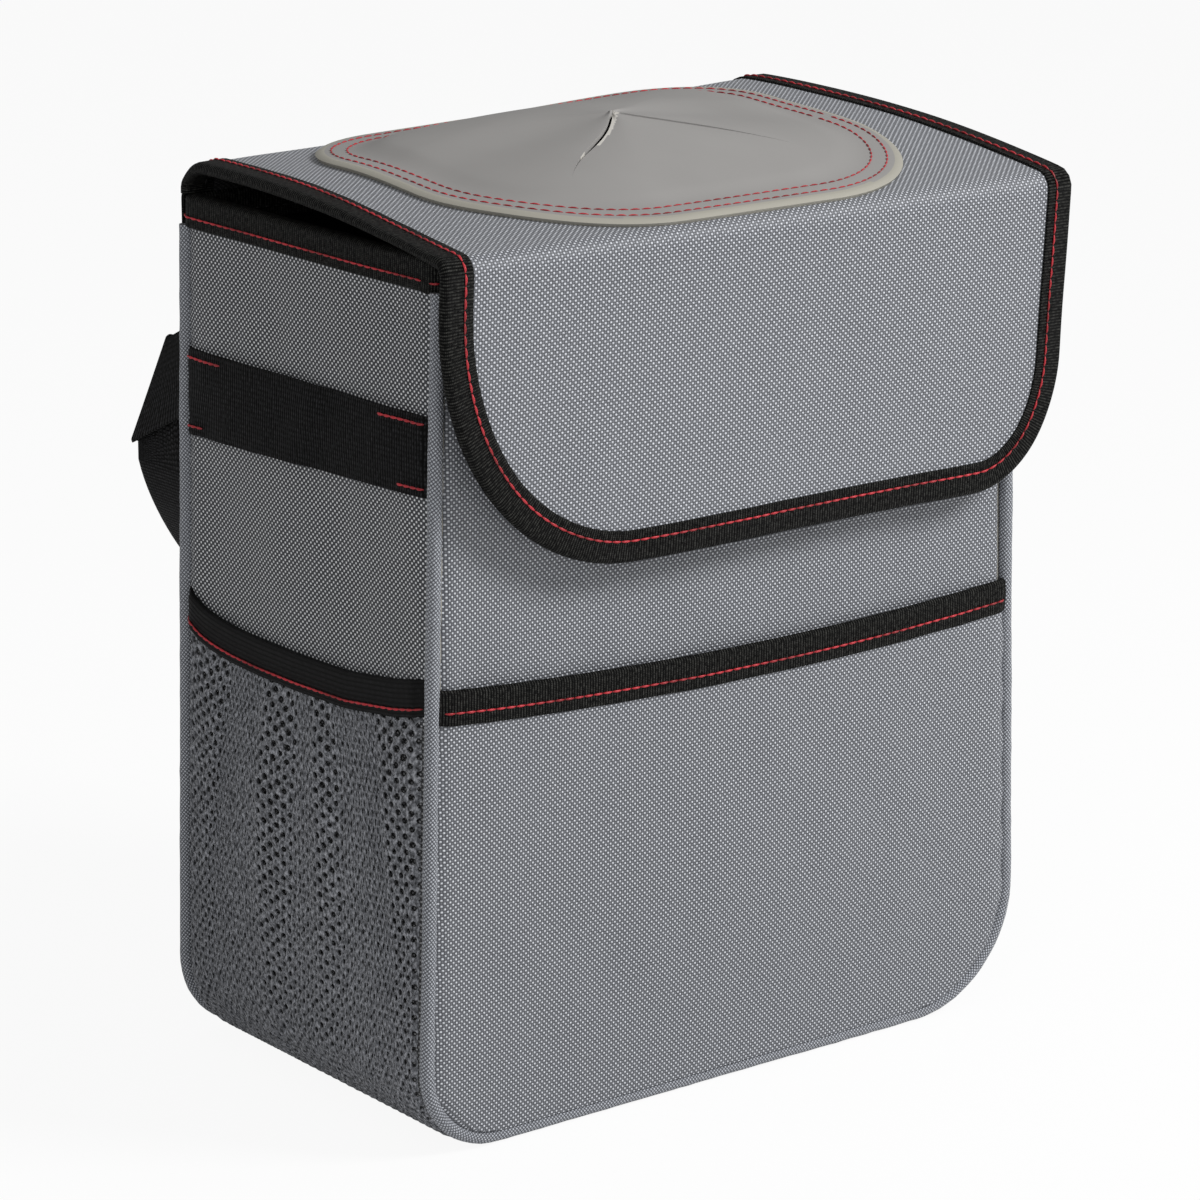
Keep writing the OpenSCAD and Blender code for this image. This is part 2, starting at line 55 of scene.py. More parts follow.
def aim(thing, place, target):
    """Puts a camera or lamp at place, looking at target."""
    thing.location = place
    thing.rotation_mode = "QUATERNION"
    thing.rotation_quaternion = (Vector(target) - Vector(place)).to_track_quat("-Z", "Y")


def add_camera():
    """The photograph's camera, solved from the edges of the box."""
    azimuth, elevation = math.radians(-37.665), math.radians(15.537)
    back = Vector((math.sin(azimuth) * math.cos(elevation),
                   -math.cos(azimuth) * math.cos(elevation), math.sin(elevation)))
    target = Vector((-0.00024, 0.0, 0.15673))
    camera = bpy.data.objects.new("camera", bpy.data.cameras.new("camera"))
    bpy.context.scene.collection.objects.link(camera)
    camera.data.lens = 135.45
    camera.data.sensor_width = 36
    camera.data.clip_end = 50
    aim(camera, target + back * 1.60572, target)
    bpy.context.scene.camera = camera


def add_lamp(name, kind, strength, place, target, **settings):
    """A lamp of a kind and strength in watts at place, facing target."""
    lamp = bpy.data.objects.new(name, bpy.data.lights.new(name, kind))
    bpy.context.scene.collection.objects.link(lamp)
    lamp.data.energy = strength
    for key, value in settings.items():
        setattr(lamp.data, key, value)
    aim(lamp, place, target)


# Materials

def linear(code):
    """An sRGB hex colour as linear red, green, blue and alpha."""
    parts = [int(code[i:i + 2], 16) / 255 for i in (1, 3, 5)]
    return [p / 12.92 if p <= 0.04045 else ((p + 0.055) / 1.055) ** 2.4 for p in parts] + [1.0]


def add(tree, kind, settings=None, sockets=None):
    """Adds a node with its settings; each socket gets a value, or a link from another socket."""
    made = tree.nodes.new(kind)
    for key, value in (settings or {}).items():
        setattr(made, key, value)
    for key, value in (sockets or {}).items():
        if isinstance(value, bpy.types.NodeSocket):
            tree.links.new(value, made.inputs[key])
        else:
            made.inputs[key].default_value = value
    return made


def calc(tree, operation, *values):
    """The result of a Math node; each value is a number or another node's output."""
    return add(tree, "ShaderNodeMath", {"operation": operation},
               dict(enumerate(values))).outputs[0]


def bump(tree, shader, height, strength, depth, invert=False):
    """Raises the surface by a height from 0 to 1; depth is in metres."""
    made = add(tree, "ShaderNodeBump", {"invert": invert},
               {"Strength": strength, "Distance": depth, "Height": height})
    tree.links.new(made.outputs[0], shader.inputs["Normal"])


def ribs(tree, along, pitch):
    """Rounded ribs along a length in millimetres: from 0 in the gaps to 1 on each top."""
    return calc(tree, "ABSOLUTE", calc(tree, "SINE", calc(tree, "MULTIPLY", along, PI / pitch)))


def new_material(name, roughness, specular=0.5, sheen=0.0):
    """A named material with its shader; returns it, its node tree and the shader."""
    material = bpy.data.materials.new(name)
    material.use_nodes = True
    tree = material.node_tree
    shader = tree.nodes["Principled BSDF"]
    shader.inputs["Roughness"].default_value = roughness
    shader.inputs["Specular IOR Level"].default_value = specular
    shader.inputs["Sheen Weight"].default_value = sheen
    shader.inputs["Sheen Roughness"].default_value = 0.5
    return material, tree, shader


def threads(tree, cloth, pitch_u, pitch_v):
    """Rounded thread tops over the cloth: from 0 in the gaps to 1 on each crossing."""
    split = add(tree, "ShaderNodeSeparateXYZ", None, {0: cloth})
    return calc(tree, "MULTIPLY", ribs(tree, split.outputs[0], pitch_u),
                ribs(tree, split.outputs[1], pitch_v))


def cloth_uv(tree, scale=(1, 1, 1), turn=0.0):
    """The piece's own cloth coordinates in millimetres, turned by turn degrees."""
    uv = add(tree, "ShaderNodeUVMap", {"uv_map": "UVMap"})
    return add(tree, "ShaderNodeMapping", {"vector_type": "POINT"},
               {"Vector": uv.outputs[0], "Rotation": (0, 0, math.radians(turn)),
                "Scale": scale}).outputs[0]


def ramp(tree, factor, *stops):
    """A colour ramp of (place, sRGB hex) stops."""
    made = add(tree, "ShaderNodeValToRGB", None, {0: factor})
    band = made.color_ramp
    while len(band.elements) < len(stops):
        band.elements.new(0.5)
    for element, (place, code) in zip(band.elements, stops):
        element.position = place
        element.color = linear(code)
    return made.outputs[0]


# The weave measured in the photograph repeats every 1.02 mm, so the yarn is that coarse here.
WEAVE = 1.02


def oxford_cloth(name, turn, dark, mid, light, under=0.15, wide=1.0, painted_shade_below=0):
    """Coated polyester Oxford cloth, plain weave of coarse yarn, with slightly uneven yarns. Its
    bright yarn tops in diagonal rows are painted highlight, and its dark gaps and the darker yarn
    that lies under are painted shade. Below the given height, in metres, it lies behind the mesh
    pockets and shows 0.3 of its colour, as painted shade of the pockets."""
    material, tree, shader = new_material(name, 0.55, 0.4, 0.1)
    cloth = cloth_uv(tree, (1 / wide, 1, 1), turn)
    tops = threads(tree, cloth, WEAVE, WEAVE)
    cell = add(tree, "ShaderNodeVectorMath", {"operation": "SCALE"},
               {0: cloth, "Scale": 1 / WEAVE})
    over = add(tree, "ShaderNodeTexChecker", None, {
        "Vector": cell.outputs[0], "Color1": (1, 1, 1, 1), "Color2": (0, 0, 0, 1), "Scale": 1.0})
    height = calc(tree, "MULTIPLY", tops,
                  calc(tree, "MULTIPLY_ADD", over.outputs[1], 1 - under, under))
    # Painted shade in the gaps and on the under yarn, painted highlight on the yarn tops.
    yarn = ramp(tree, height, (0.0, dark), (0.35, mid), (0.85, light))
    slub = add(tree, "ShaderNodeTexNoise", None, {"Vector": cloth, "Scale": 0.55, "Detail": 2.0})
    shade = ramp(tree, slub.outputs[0], (0.3, "#e9e9ea"), (0.7, "#ffffff"))
    colour = add(tree, "ShaderNodeMix", {"data_type": "RGBA", "blend_type": "MULTIPLY"},
                 {0: 1.0, 6: yarn, 7: shade}).outputs[2]
    # Painted shade: the cloth behind the mesh pockets is darkened to 0.3 of its colour.
    if painted_shade_below:
        place = add(tree, "ShaderNodeSeparateXYZ", None,
                    {0: add(tree, "ShaderNodeTexCoord").outputs["Object"]})
        above = add(tree, "ShaderNodeMapRange", None,
                    {0: place.outputs[2], 1: painted_shade_below - 0.002, 2: painted_shade_below, 3: 0.3, 4: 1.0})
        colour = add(tree, "ShaderNodeVectorMath", {"operation": "SCALE"},
                     {0: colour, "Scale": above.outputs[0]}).outputs[0]
    tree.links.new(colour, shader.inputs["Base Color"])
    bump(tree, shader, height, 1.0, 0.0004)
    return material


def ribbed_tape(name, pitch, dark, light, along=True, fine=0.55, shine=0.08):
    """Woven polyester tape: raised ribs across it, cut by the finer warp, with a dull shine."""
    material, tree, shader = new_material(name, 0.55, shine)
    cloth = cloth_uv(tree)
    split = add(tree, "ShaderNodeSeparateXYZ", None, {0: cloth})
    rib_axis, warp_axis = (1, 0) if along else (0, 1)
    rib = ribs(tree, split.outputs[rib_axis], pitch)
    warp = ribs(tree, split.outputs[warp_axis], fine * pitch)
    height = calc(tree, "MULTIPLY", rib, calc(tree, "MULTIPLY_ADD", warp, 0.35, 0.65))
    fuzz = add(tree, "ShaderNodeTexNoise", None, {"Vector": cloth, "Scale": 0.7, "Detail": 4.0})
    lit = calc(tree, "MULTIPLY", height, fuzz.outputs[0])
    # The rib tops are painted lighter over the black: painted highlight on the ribs.
    tree.links.new(ramp(tree, lit, (0.3, dark), (0.58, light)), shader.inputs["Base Color"])
    bump(tree, shader, height, 0.7, 0.0004)
    return material


def mesh_knit(name):
    """Warp-knitted polyester air mesh: soft grey yarn in short strokes that run down the cloth."""
    material, tree, shader = new_material(name, 0.7, 0.3, 0.2)
    cloth = cloth_uv(tree, (2.4, 0.8, 1))
    strokes = add(tree, "ShaderNodeTexNoise", None,
                  {"Vector": cloth, "Scale": 0.62, "Detail": 4.0, "Roughness": 0.6})
    tree.links.new(ramp(tree, strokes.outputs[0], (0.34, "#232427"), (0.48, "#5d5f64"),
                        (0.64, "#a1a3a9")), shader.inputs["Base Color"])
    bump(tree, shader, strokes.outputs[0], 0.8, 0.0006)
    return material


def soft_sheet(name, low, high, roughness, grain, relief):
    """A smooth soft sheet, such as vinyl, film, fibre board or foam: its own shine, a fine
    grain of grain millimetres, and faint tonal clouds where hands have pressed it."""
    material, tree, shader = new_material(name, roughness, 0.4)
    spot = add(tree, "ShaderNodeTexCoord").outputs["Object"]
    clouds = add(tree, "ShaderNodeTexNoise", None, {"Vector": spot, "Scale": 14.0, "Detail": 3.0})
    tree.links.new(ramp(tree, clouds.outputs[0], (0.3, low), (0.7, high)),
                   shader.inputs["Base Color"])
    fine = add(tree, "ShaderNodeTexNoise", None,
               {"Vector": spot, "Scale": 1000 / grain, "Detail": 3.0})
    bump(tree, shader, fine.outputs[0], relief, 0.0003)
    return material


def twisted_thread(name, low, high):
    """Bonded polyester sewing thread: twisted plies that catch a little light."""
    material, tree, shader = new_material(name, 0.45, 0.4)
    cloth = cloth_uv(tree, turn=35)
    plies = threads(tree, cloth, 0.5, 40)
    tree.links.new(ramp(tree, plies, (0.0, low), (0.8, high)), shader.inputs["Base Color"])
    return material


def pile(name, low, high, size):
    """Hook-and-loop tape: a dense black pile of nylon, matte with pin-point gaps."""
    material, tree, shader = new_material(name, 0.9, 0.2, 0.3)
    spot = add(tree, "ShaderNodeTexCoord").outputs["Object"]
    tufts = add(tree, "ShaderNodeTexVoronoi", None, {"Vector": spot, "Scale": 1000 / size})
    tree.links.new(ramp(tree, tufts.outputs[0], (0.0, high), (0.6, low)),
                   shader.inputs["Base Color"])
    bump(tree, shader, tufts.outputs[0], 0.9, 0.0006, invert=True)
    return material


# The side strip is lit at a slant and its gaps read deeper, so this copy of the cloth has deeper
# painted shade in its gaps and brighter painted highlights on its yarn tops; its weft lies a
# little wider apart, as the lid's does.
grey_oxford = oxford_cloth("grey_oxford_cloth", 0, "#404247", "#a2a5ac", "#e5e8ed")
lid_oxford = oxford_cloth("grey_oxford_cloth_of_the_lid", 0, "#404247", "#b0b3ba", "#dfe2e8",
                          wide=1.12)
side_oxford_painted_shade = oxford_cloth("grey_oxford_cloth_of_the_sides_painted_shade", 0, "#060607", "#a3a8b1", "#ffffff",
                           under=0.05, wide=1.12, painted_shade_below=0.152)
bias_oxford = oxford_cloth("grey_oxford_cut_on_the_bias", 38, "#404247", "#878a91", "#ccd0d7",
                           under=0.8)
black_oxford = oxford_cloth("black_lining_cloth", 0, "#030303", "#0b0b0b", "#161617")
binding_tape = ribbed_tape("black_grosgrain_binding", 1.1, "#020202", "#3e3e3b")
webbing = ribbed_tape("black_polyester_webbing", 1.3, "#010101", "#2e2e30", fine=1.3)
elastic = ribbed_tape("black_ribbed_elastic", 1.7, "#020202", "#141416", along=False, fine=0.4,
                      shine=0.15)
knit = mesh_knit("grey_air_mesh")
vinyl = soft_sheet("warm_grey_soft_vinyl", "#8e8c8a", "#969492", 0.65, 0.5, 0.08)
# Painted highlights: the pad's rounded rim and the raised lip of its open slit, drawn paler.
slit_lip_highlight = soft_sheet("painted_highlight_on_the_slit_lip", "#bdbab3", "#cbc8c2", 0.6, 0.5, 0.12)
pad_rim_highlight = soft_sheet("painted_highlight_on_the_pad_rim", "#9c998f", "#a4a196", 0.6, 0.5, 0.12)
liner_film = soft_sheet("black_waterproof_film", "#0a0a0b", "#121213", 0.38, 1.5, 0.35)
grey_board = soft_sheet("grey_fibre_board", "#8a8780", "#a19e96", 0.85, 0.8, 0.4)
black_foam = soft_sheet("black_foam_sheet", "#0d0d0e", "#161617", 0.85, 0.4, 0.5)
red_thread = twisted_thread("red_polyester_thread", "#86191f", "#c8303b")
black_thread = twisted_thread("black_polyester_thread", "#050505", "#1c1c1c")
hook_pile = pile("black_hook_tape", "#070707", "#262626", 1.1)
loop_pile = pile("black_loop_tape", "#0b0b0b", "#2a2a2a", 0.8)


# Making pieces

def select_only(piece):
    bpy.ops.object.select_all(action="DESELECT")
    piece.select_set(True)
    bpy.context.view_layer.objects.active = piece


def in_edit(piece, *steps):
    """Selects the whole piece in edit mode and runs each step there."""
    select_only(piece)
    bpy.ops.object.mode_set(mode="EDIT")
    bpy.ops.mesh.select_all(action="SELECT")
    for step in steps:
        step()
    bpy.ops.object.mode_set(mode="OBJECT")


def face_outwards(piece):
    in_edit(piece, lambda: bpy.ops.mesh.normals_make_consistent(inside=False))


def flip(piece):
    in_edit(piece, lambda: bpy.ops.mesh.flip_normals())


def weld(piece, distance):
    """Joins points closer than distance, in metres, and drops faces without area."""
    in_edit(piece, lambda: bpy.ops.mesh.remove_doubles(threshold=distance),
            lambda: bpy.ops.mesh.dissolve_degenerate(threshold=1e-5),
            lambda: bpy.ops.mesh.normals_make_consistent(inside=False))


# The flat width, height and area of each cloth, in metres
CUTS = {}


def cut_from(name, cloth, area):
    """Remembers the flat size, in metres, of the cloth that a piece is cut from."""
    wide, tall = np.ptp(cloth, axis=0) * MM
    old = CUTS.get(name, (0, 0, 0))
    CUTS[name] = (max(wide, old[0]), max(tall, old[1]), area + old[2])


def sheet(name, cells_u, cells_v, place):
    """A cloth grid: place(u, v), both from 0 to 1, gives its points and its cloth UV."""
    bpy.ops.object.select_all(action="DESELECT")
    bpy.ops.mesh.primitive_grid_add(x_subdivisions=cells_u, y_subdivisions=cells_v, size=2)
    piece = bpy.context.object
    mesh = piece.data
    spots = np.empty(len(mesh.vertices) * 3)
    mesh.vertices.foreach_get("co", spots)
    spots = (spots.reshape(-1, 3) + 1) / 2
    points, cloth = place(spots[:, 0], spots[:, 1])
    mesh.vertices.foreach_set("co", (points * MM).ravel())
    corners = np.empty(len(mesh.loops), int)
    mesh.loops.foreach_get("vertex_index", corners)
    mesh.uv_layers[0].name = "UVMap"
    mesh.uv_layers[0].data.foreach_set("uv", cloth[corners].ravel())
    mesh.update()
    piece.name = mesh.name = name
    cut_from(name, cloth, sum(face.area for face in mesh.polygons))
    return piece


def built(name, points, faces, cloth):
    """A piece made of points in millimetres and faces, with a cloth UV for each point."""
    mesh = bpy.data.meshes.new(name)
    mesh.from_pydata((np.array(points) * MM).tolist(), [], faces)
    layer = mesh.uv_layers.new(name="UVMap")
    corners = np.empty(len(mesh.loops), int)
    mesh.loops.foreach_get("vertex_index", corners)
    layer.data.foreach_set("uv", np.array(cloth, float)[corners].ravel())
    piece = bpy.data.objects.new(name, mesh)
    bpy.context.scene.collection.objects.link(piece)
    return piece


def apply_modifier(piece, kind, **settings):
    select_only(piece)
    made = piece.modifiers.new("step", kind)
    for key, value in settings.items():
        setattr(made, key, value)
    bpy.ops.object.modifier_apply(modifier=made.name)


def thicken(piece, wall, offset=-1.0):
    """Gives a sheet its thickness; offset -1 grows it inwards, away from its normals."""
    apply_modifier(piece, "SOLIDIFY", thickness=wall * MM, offset=offset)


def swept(name, section, count, place, lengths, closed=False):
    """A closed section of (a, b) points swept over count stations; place(a, b, station)
    gives the points, and the cloth UV is round the section and along the stations, whose
    places are in lengths."""
    section = np.array(section, float)
    rounds = len(section)
    ring = np.vstack([section, section[:1]])
    girth = np.concatenate([[0], np.cumsum(np.hypot(*np.diff(ring, axis=0).T))])

    def lay(u, v):
        i = np.rint(u * rounds).astype(int)
        j = np.rint(v * (count - 1)).astype(int)
        points = place(ring[i, 0], ring[i, 1], j)
        return points, np.stack([girth[i], lengths[j]], axis=1)

    piece = sheet(name, rounds, count - 1, lay)
    in_edit(piece, lambda: bpy.ops.mesh.remove_doubles(threshold=1e-6))
    if not closed:
        in_edit(piece, lambda: bpy.ops.mesh.fill_holes(sides=0))
    face_outwards(piece)
    return piece


def join(name, *pieces):
    select_only(pieces[0])
    for piece in pieces[1:]:
        piece.select_set(True)
    bpy.ops.object.join()
    joined = bpy.context.object
    joined.name = joined.data.name = name
    return joined


def dress(piece, material, slot, body, *nodes, smooth=42):
    """Gives a finished piece its material, its smooth shading and its body, and hides the model's
    parts that it stands for. The slot is not used.
    """
    piece.data.materials.clear()
    piece.data.materials.append(material)
    select_only(piece)
    bpy.ops.object.shade_smooth_by_angle(angle=math.radians(smooth))
    if body:
        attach(piece, body)
    if nodes:
        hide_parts(*nodes)
    return piece


def lengths_of(points):
    """Distance along a line of points."""
    return np.concatenate([[0], np.cumsum(np.linalg.norm(np.diff(points, axis=0), axis=1))])


def unit(vectors):
    return vectors / np.maximum(np.linalg.norm(vectors, axis=1, keepdims=True), 1e-9)


def stitches(name, lines, body, thread=None, pitch=4.0, dash=3.6, thick=0.9):
    """Sewn dashes along lines of (points, normals): each one dips into the cloth at its ends."""
    sides, steps = 5, 4
    points, faces, cloth = [], [], []
    for line, normals in lines:
        along = lengths_of(line)
        heading = unit(np.gradient(line, axis=0))
        count = int(along[-1] // pitch)
        slack = (along[-1] - count * pitch + (pitch - dash)) / 2
        for k in range(count):
            first = len(points)
            for step in range(steps):
                share = step / (steps - 1)
                s = slack + k * pitch + share * dash
                middle = np.array([np.interp(s, along, line[:, i]) for i in range(3)])
                up = np.array([np.interp(s, along, normals[:, i]) for i in range(3)])
                ahead = np.array([np.interp(s, along, heading[:, i]) for i in range(3)])
                side = np.cross(ahead, up)
                # Full in the middle, and thinner and lower where it dips into the cloth
                swell = math.sin(PI * (0.16 + 0.68 * share))
                middle = middle + up * (0.55 * thick * swell - 0.22 * thick)
                for turn in range(sides):
                    angle = 2 * PI * turn / sides
                    points.append(middle + thick / 2 * swell
                                  * (math.cos(angle) * side + 0.8 * math.sin(angle) * up))
                    cloth.append((thick * turn, s))
            for step in range(steps - 1):
                for turn in range(sides):
                    a = first + step * sides + turn
                    b = first + step * sides + (turn + 1) % sides
                    faces.append((a, b, b + sides, a + sides))
            faces.append(tuple(first + sides - 1 - turn for turn in range(sides)))
            faces.append(tuple(first + (steps - 1) * sides + turn for turn in range(sides)))
    piece = built(name, points, faces, cloth)
    face_outwards(piece)
    return dress(piece, thread or red_thread, "black_webbing", body, smooth=80)


def ripple(a, b, size, seed):
    """Soft waves over a sheet, from about -1 to 1, whose length is about size."""
    pick = np.random.default_rng(seed)
    total = np.zeros_like(np.asarray(a, float))
    for _ in range(6):
        angle, phase = pick.uniform(0, 2 * PI, 2)
        pace = 2 * PI / size * pick.uniform(0.7, 1.4)
        total = total + np.sin(pace * (a * math.cos(angle) + b * math.sin(angle)) + phase)
    return total / 3


def fade(x, low, high):
    """Smooth step from 0 at low to 1 at high."""
    t = np.clip((x - low) / (high - low), 0, 1)
    return t * t * (3 - 2 * t)


def folded_section(face, back, core, tape, nose=1.7):
    """Section of a tape folded over an edge: a is the distance in from the edge and b the
    height over the middle of what it binds."""
    half, out = core / 2, core / 2 + tape
    turn = np.linspace(PI / 2, -PI / 2, 7)
    outer = [(face, out - 0.25), (face - 0.3, out)]
    outer += [(a, out) for a in np.linspace(face - 1.2, nose, 5)]
    outer += [(nose * (1 - math.cos(t)), out * math.sin(t)) for t in turn[1:-1]]
    outer += [(a, -out) for a in np.linspace(nose, back - 1.2, 5)]
    outer += [(back - 0.3, -out), (back, -out + 0.25)]
    inner = [(back, -half), (nose, -half), (nose, half), (face, half)]
    return outer + inner


# The box's own shape

TOP_W, BASE_W, DEPTH, BODY_H = 250.0, 267.2, 150.0, 306.0
# The left bottom corner is fuller than the right one, as in the photograph.
LEFT_R, RIGHT_R = 30.0, 45.0
PIPING_R, PIPING_PROUD, TAPE_T = 2.5, 1.5, 0.8
LEAN = (BASE_W - TOP_W) / 2 / BODY_H
SLANT = math.sqrt(1 + LEAN * LEAN)
LEAN_ANGLE = math.atan(LEAN)
HALF_D = DEPTH / 2
PIPING_Y = HALF_D - PIPING_R + PIPING_PROUD
GUSSET_Y = PIPING_Y - PIPING_R


def side_x(z, inset):
    """x of the right wall at height z, moved in by inset."""
    return TOP_W / 2 + LEAN * (BODY_H - z) - inset * SLANT


def corner_x(corner, side_in, base_in):
    """x of the middle of a bottom corner's curve."""
    return side_x(corner, side_in + corner - base_in)


def half_outline(corner, z, side_in, base_in):
    """Half the box's width at height z, inside the rounded corner of that side."""
    r, drop = corner - base_in, corner - z
    curved = corner_x(corner, side_in, base_in) + np.sqrt(np.maximum(0, r * r - drop * drop))
    return np.where(z >= corner + r * LEAN / SLANT, side_x(z, side_in), curved)


def across(u, z, side_in, base_in):
    """x at a share u of the box's width at height z, from its left side to its right."""
    return (u * half_outline(RIGHT_R, z, side_in, base_in)
            - (1 - u) * half_outline(LEFT_R, z, side_in, base_in))


class BoxRun:
    """The line round the box: down its left side, under it and up its right side."""

    def __init__(self, side_in, base_in, top=BODY_H):
        halves = []
        for corner in (LEFT_R, RIGHT_R):
            r, cx = corner - base_in, corner_x(corner, side_in, base_in)
            turn = np.linspace(LEAN_ANGLE, -PI / 2, 26)
            arc = np.stack([cx + r * np.cos(turn), corner + r * np.sin(turn)], axis=1)
            start = np.array([side_x(top, side_in), top])
            wall = start + np.linspace(0, 1, 50)[:-1, None] * (arc[0] - start)
            floor = arc[-1] + np.linspace(0, 1, 30)[1:, None] * (
                np.array([0, base_in]) - arc[-1])
            halves.append(np.vstack([wall, arc, floor]))
        line = np.vstack([halves[0] * [-1, 1], halves[1][::-1][1:]])
        self.s = lengths_of(line)
        heading = unit(np.gradient(line, self.s, axis=0))
        self.x, self.z = line.T
        self.nx, self.nz = heading[:, 1], -heading[:, 0]
        self.length = self.s[-1]

    def at(self, s, off=0.0):
        """(x, z) at a distance along the line, lifted off it by off."""
        x, z, nx, nz = (np.interp(s, self.s, k) for k in (self.x, self.z, self.nx, self.nz))
        return x + off * nx, z + off * nz


wall_run = BoxRun(PIPING_PROUD, 0)


def wall_wave(y, s):
    """How far the side cloth stands off its flat place: seams pull it in, the rest is loose."""
    seam = np.minimum(GUSSET_Y - np.abs(y), 14) / 14
    loose = 0.55 * ripple(y, s, 85, 3) + 0.2 * ripple(y, s, 28, 4)
    gather = np.sin(s / 2.1 + 0.8 * ripple(s, y, 40, 5))
    pucker = 0.22 * gather * np.exp(-(GUSSET_Y - np.abs(y)) / 3)
    floor = fade(np.abs(s - wall_run.length / 2), 95, 130)
    return (loose * fade(seam, 0, 1) * floor + pucker) * fade(s, 2, 30) * fade(
        wall_run.length - s, 2, 30)


def front_wave(x, z):
    """The same for the front and back cloth."""
    edge = np.minimum(side_x(z, 5) - np.abs(x), 18) / 18
    loose = 0.7 * ripple(x, z, 110, 11) + 0.25 * ripple(x, z, 34, 12)
    pucker = 0.2 * np.sin(z / 2.2) * np.exp(-np.maximum(side_x(z, 5) - np.abs(x), 0) / 3)
    return loose * fade(edge, 0, 1) * fade(BODY_H - z, 4, 40) * fade(z, 4, 30) + pucker


def stack(x, y, z):
    """Rows of (x, y, z) from single values or arrays."""
    x, y, z = np.broadcast_arrays(x, y, z)
    return np.stack([x, y, z], axis=1).astype(float)


# Gusset: one strip of cloth down the left side, under the base and up the right side

def gusset_place(u, v):
    y = (2 * u - 1) * (GUSSET_Y + 0.5)
    s = v * (wall_run.length - 2) + 1
    tuck = (-1.1 * fade(np.abs(y), GUSSET_Y - 2.6, GUSSET_Y - 0.2)
            - 0.3 * fade(y, GUSSET_Y - 5, GUSSET_Y - 0.5))
    x, z = wall_run.at(s, wall_wave(y, s) + tuck)
    return stack(x, y, z), np.stack([y, s], axis=1)


gusset = sheet("gusset_cloth", 64, 250, gusset_place)
thicken(gusset, 1.3)
dress(gusset, side_oxford_painted_shade, "oxford_cloth", "bin", "gusset")


# Front and back panels

def panel_place(side):
    def place(u, v):
        low = 4.5
        z = low + (BODY_H - 1 - low) * v ** 1.35
        x = across(u if side > 0 else 1 - u, z, 4.5, low)
        y = -HALF_D - front_wave(x, z) + 2.5 * fade(np.abs(2 * u - 1), 0.97, 0.992)
        return stack(x, y, z) * [1, side, 1], np.stack([x, z], axis=1)
    return place


for side, name in ((1, "front"), (-1, "back")):
    panel = sheet(name + "_panel_cloth", 74, 84, panel_place(side))
    thicken(panel, 1.3)
    dress(panel, grey_oxford, "oxford_cloth", "bin", name + "_panel")


# Corded piping in both panel seams

def piping_place(side):
    run = BoxRun(PIPING_R, PIPING_R, BODY_H - 10.5)
    count = 230
    along = np.linspace(0, run.length, count)

    def place(a, b, j):
        s = along[j]
        girth = 1 + 0.03 * ripple(s, s * 0, 17, 21) + 0.02 * ripple(s, s * 0, 5, 22)
        x, z = run.at(s, a * girth)
        drift = 0.25 * ripple(s, s * 0, 60, 23 + side)
        return stack(x, side * (PIPING_Y + drift * 0.6 + b * girth), z)
    return place, count, along


for side, name in ((-1, "front"), (1, "back")):
    place, count, along = piping_place(side)
    ring = [(PIPING_R * math.cos(t), PIPING_R * math.sin(t))
            for t in np.linspace(0, 2 * PI, 15)[:-1]]
    cord = swept(name + "_corded_piping", ring, count, place, lengths=along)
    dress(cord, bias_oxford, "oxford_cloth", "bin", name + "_piping", smooth=60)


# Waterproof liner, seen when the lid is open

LINER_Y = 71.9


def liner_place(u, v):
    run = BoxRun(5.0, 4.9)
    s = v * run.length
    y = (2 * u - 1) * LINER_Y
    fold = 0.5 * ripple(y, s, 40, 31) + 0.25 * ripple(y, s, 12, 32)
    x, z = run.at(s, -0.4 + np.minimum(fold, 0.35) * fade(LINER_Y - np.abs(y), 0, 12))
    return stack(x, y, z), np.stack([y, s], axis=1)


def liner_end_place(side):
    def place(u, v):
        low = 5.0
        z = low + (BODY_H - 0.9 - low) * v ** 1.35
        x = across(1 - u if side > 0 else u, z, 4.8, low)
        fold = 0.5 * ripple(x, z, 46, 33) + 0.25 * ripple(x, z, 14, 34)
        y = -71.5 - np.minimum(fold, 0.3) * fade(np.minimum(u, 1 - u), 0, 0.08)
        return stack(x, y, z) * [1, side, 1], np.stack([x, z], axis=1)
    return place


liner = sheet("liner_strip", 40, 170, liner_place)
flip(liner)
liner_ends = [sheet("liner_end", 60, 60, liner_end_place(side)) for side in (1, -1)]
strip_wide, strip_tall, strip_area = CUTS["liner_strip"]
for piece in [liner] + liner_ends:
    thicken(piece, 0.5)
liner = join("waterproof_liner", liner, *liner_ends)
dress(liner, liner_film, "liner_film", "bin", "liner")
CUTS[liner.name] = (strip_wide + 2 * BODY_H * MM, strip_tall, strip_area + CUTS["liner_end"][2])


# Binding folded over the rim

def rounded_loop(half_x, half_y, r):
    """Points and outward normals round a rounded rectangle, starting in front on the left."""
    points, normals = [], []
    corners = [(-1, -1, PI), (1, -1, 1.5 * PI), (1, 1, 0), (-1, 1, 0.5 * PI)]
    for sx, sy, start in corners:
        cx, cy = sx * (half_x - r), sy * (half_y - r)
        for t in np.linspace(start, start + PI / 2, 7):
            points.append((cx + r * math.cos(t), cy + r * math.sin(t)))
            normals.append((math.cos(t), math.sin(t)))
    full_p, full_n = [], []
    for i, point in enumerate(points):
        after = points[(i + 1) % len(points)]
        gap = math.dist(point, after)
        parts = max(1, round(gap / 3))
        for k in range(parts):
            t = k / parts
            mixed = (1 - t) * np.array(normals[i]) + t * np.array(normals[(i + 1) % len(normals)])
            full_p.append((1 - t) * np.array(point) + t * np.array(after))
            full_n.append(mixed / np.linalg.norm(mixed))
    return np.array(full_p), np.array(full_n)


RIM_LOW, RIM_TOP = 295.0, 306.6
rim_line, rim_out = rounded_loop(side_x(BODY_H, 0.45), HALF_D + 0.55, 6.0)
rim_count = len(rim_line) + 1
rim_along = lengths_of(np.vstack([rim_line, rim_line[:1]]))


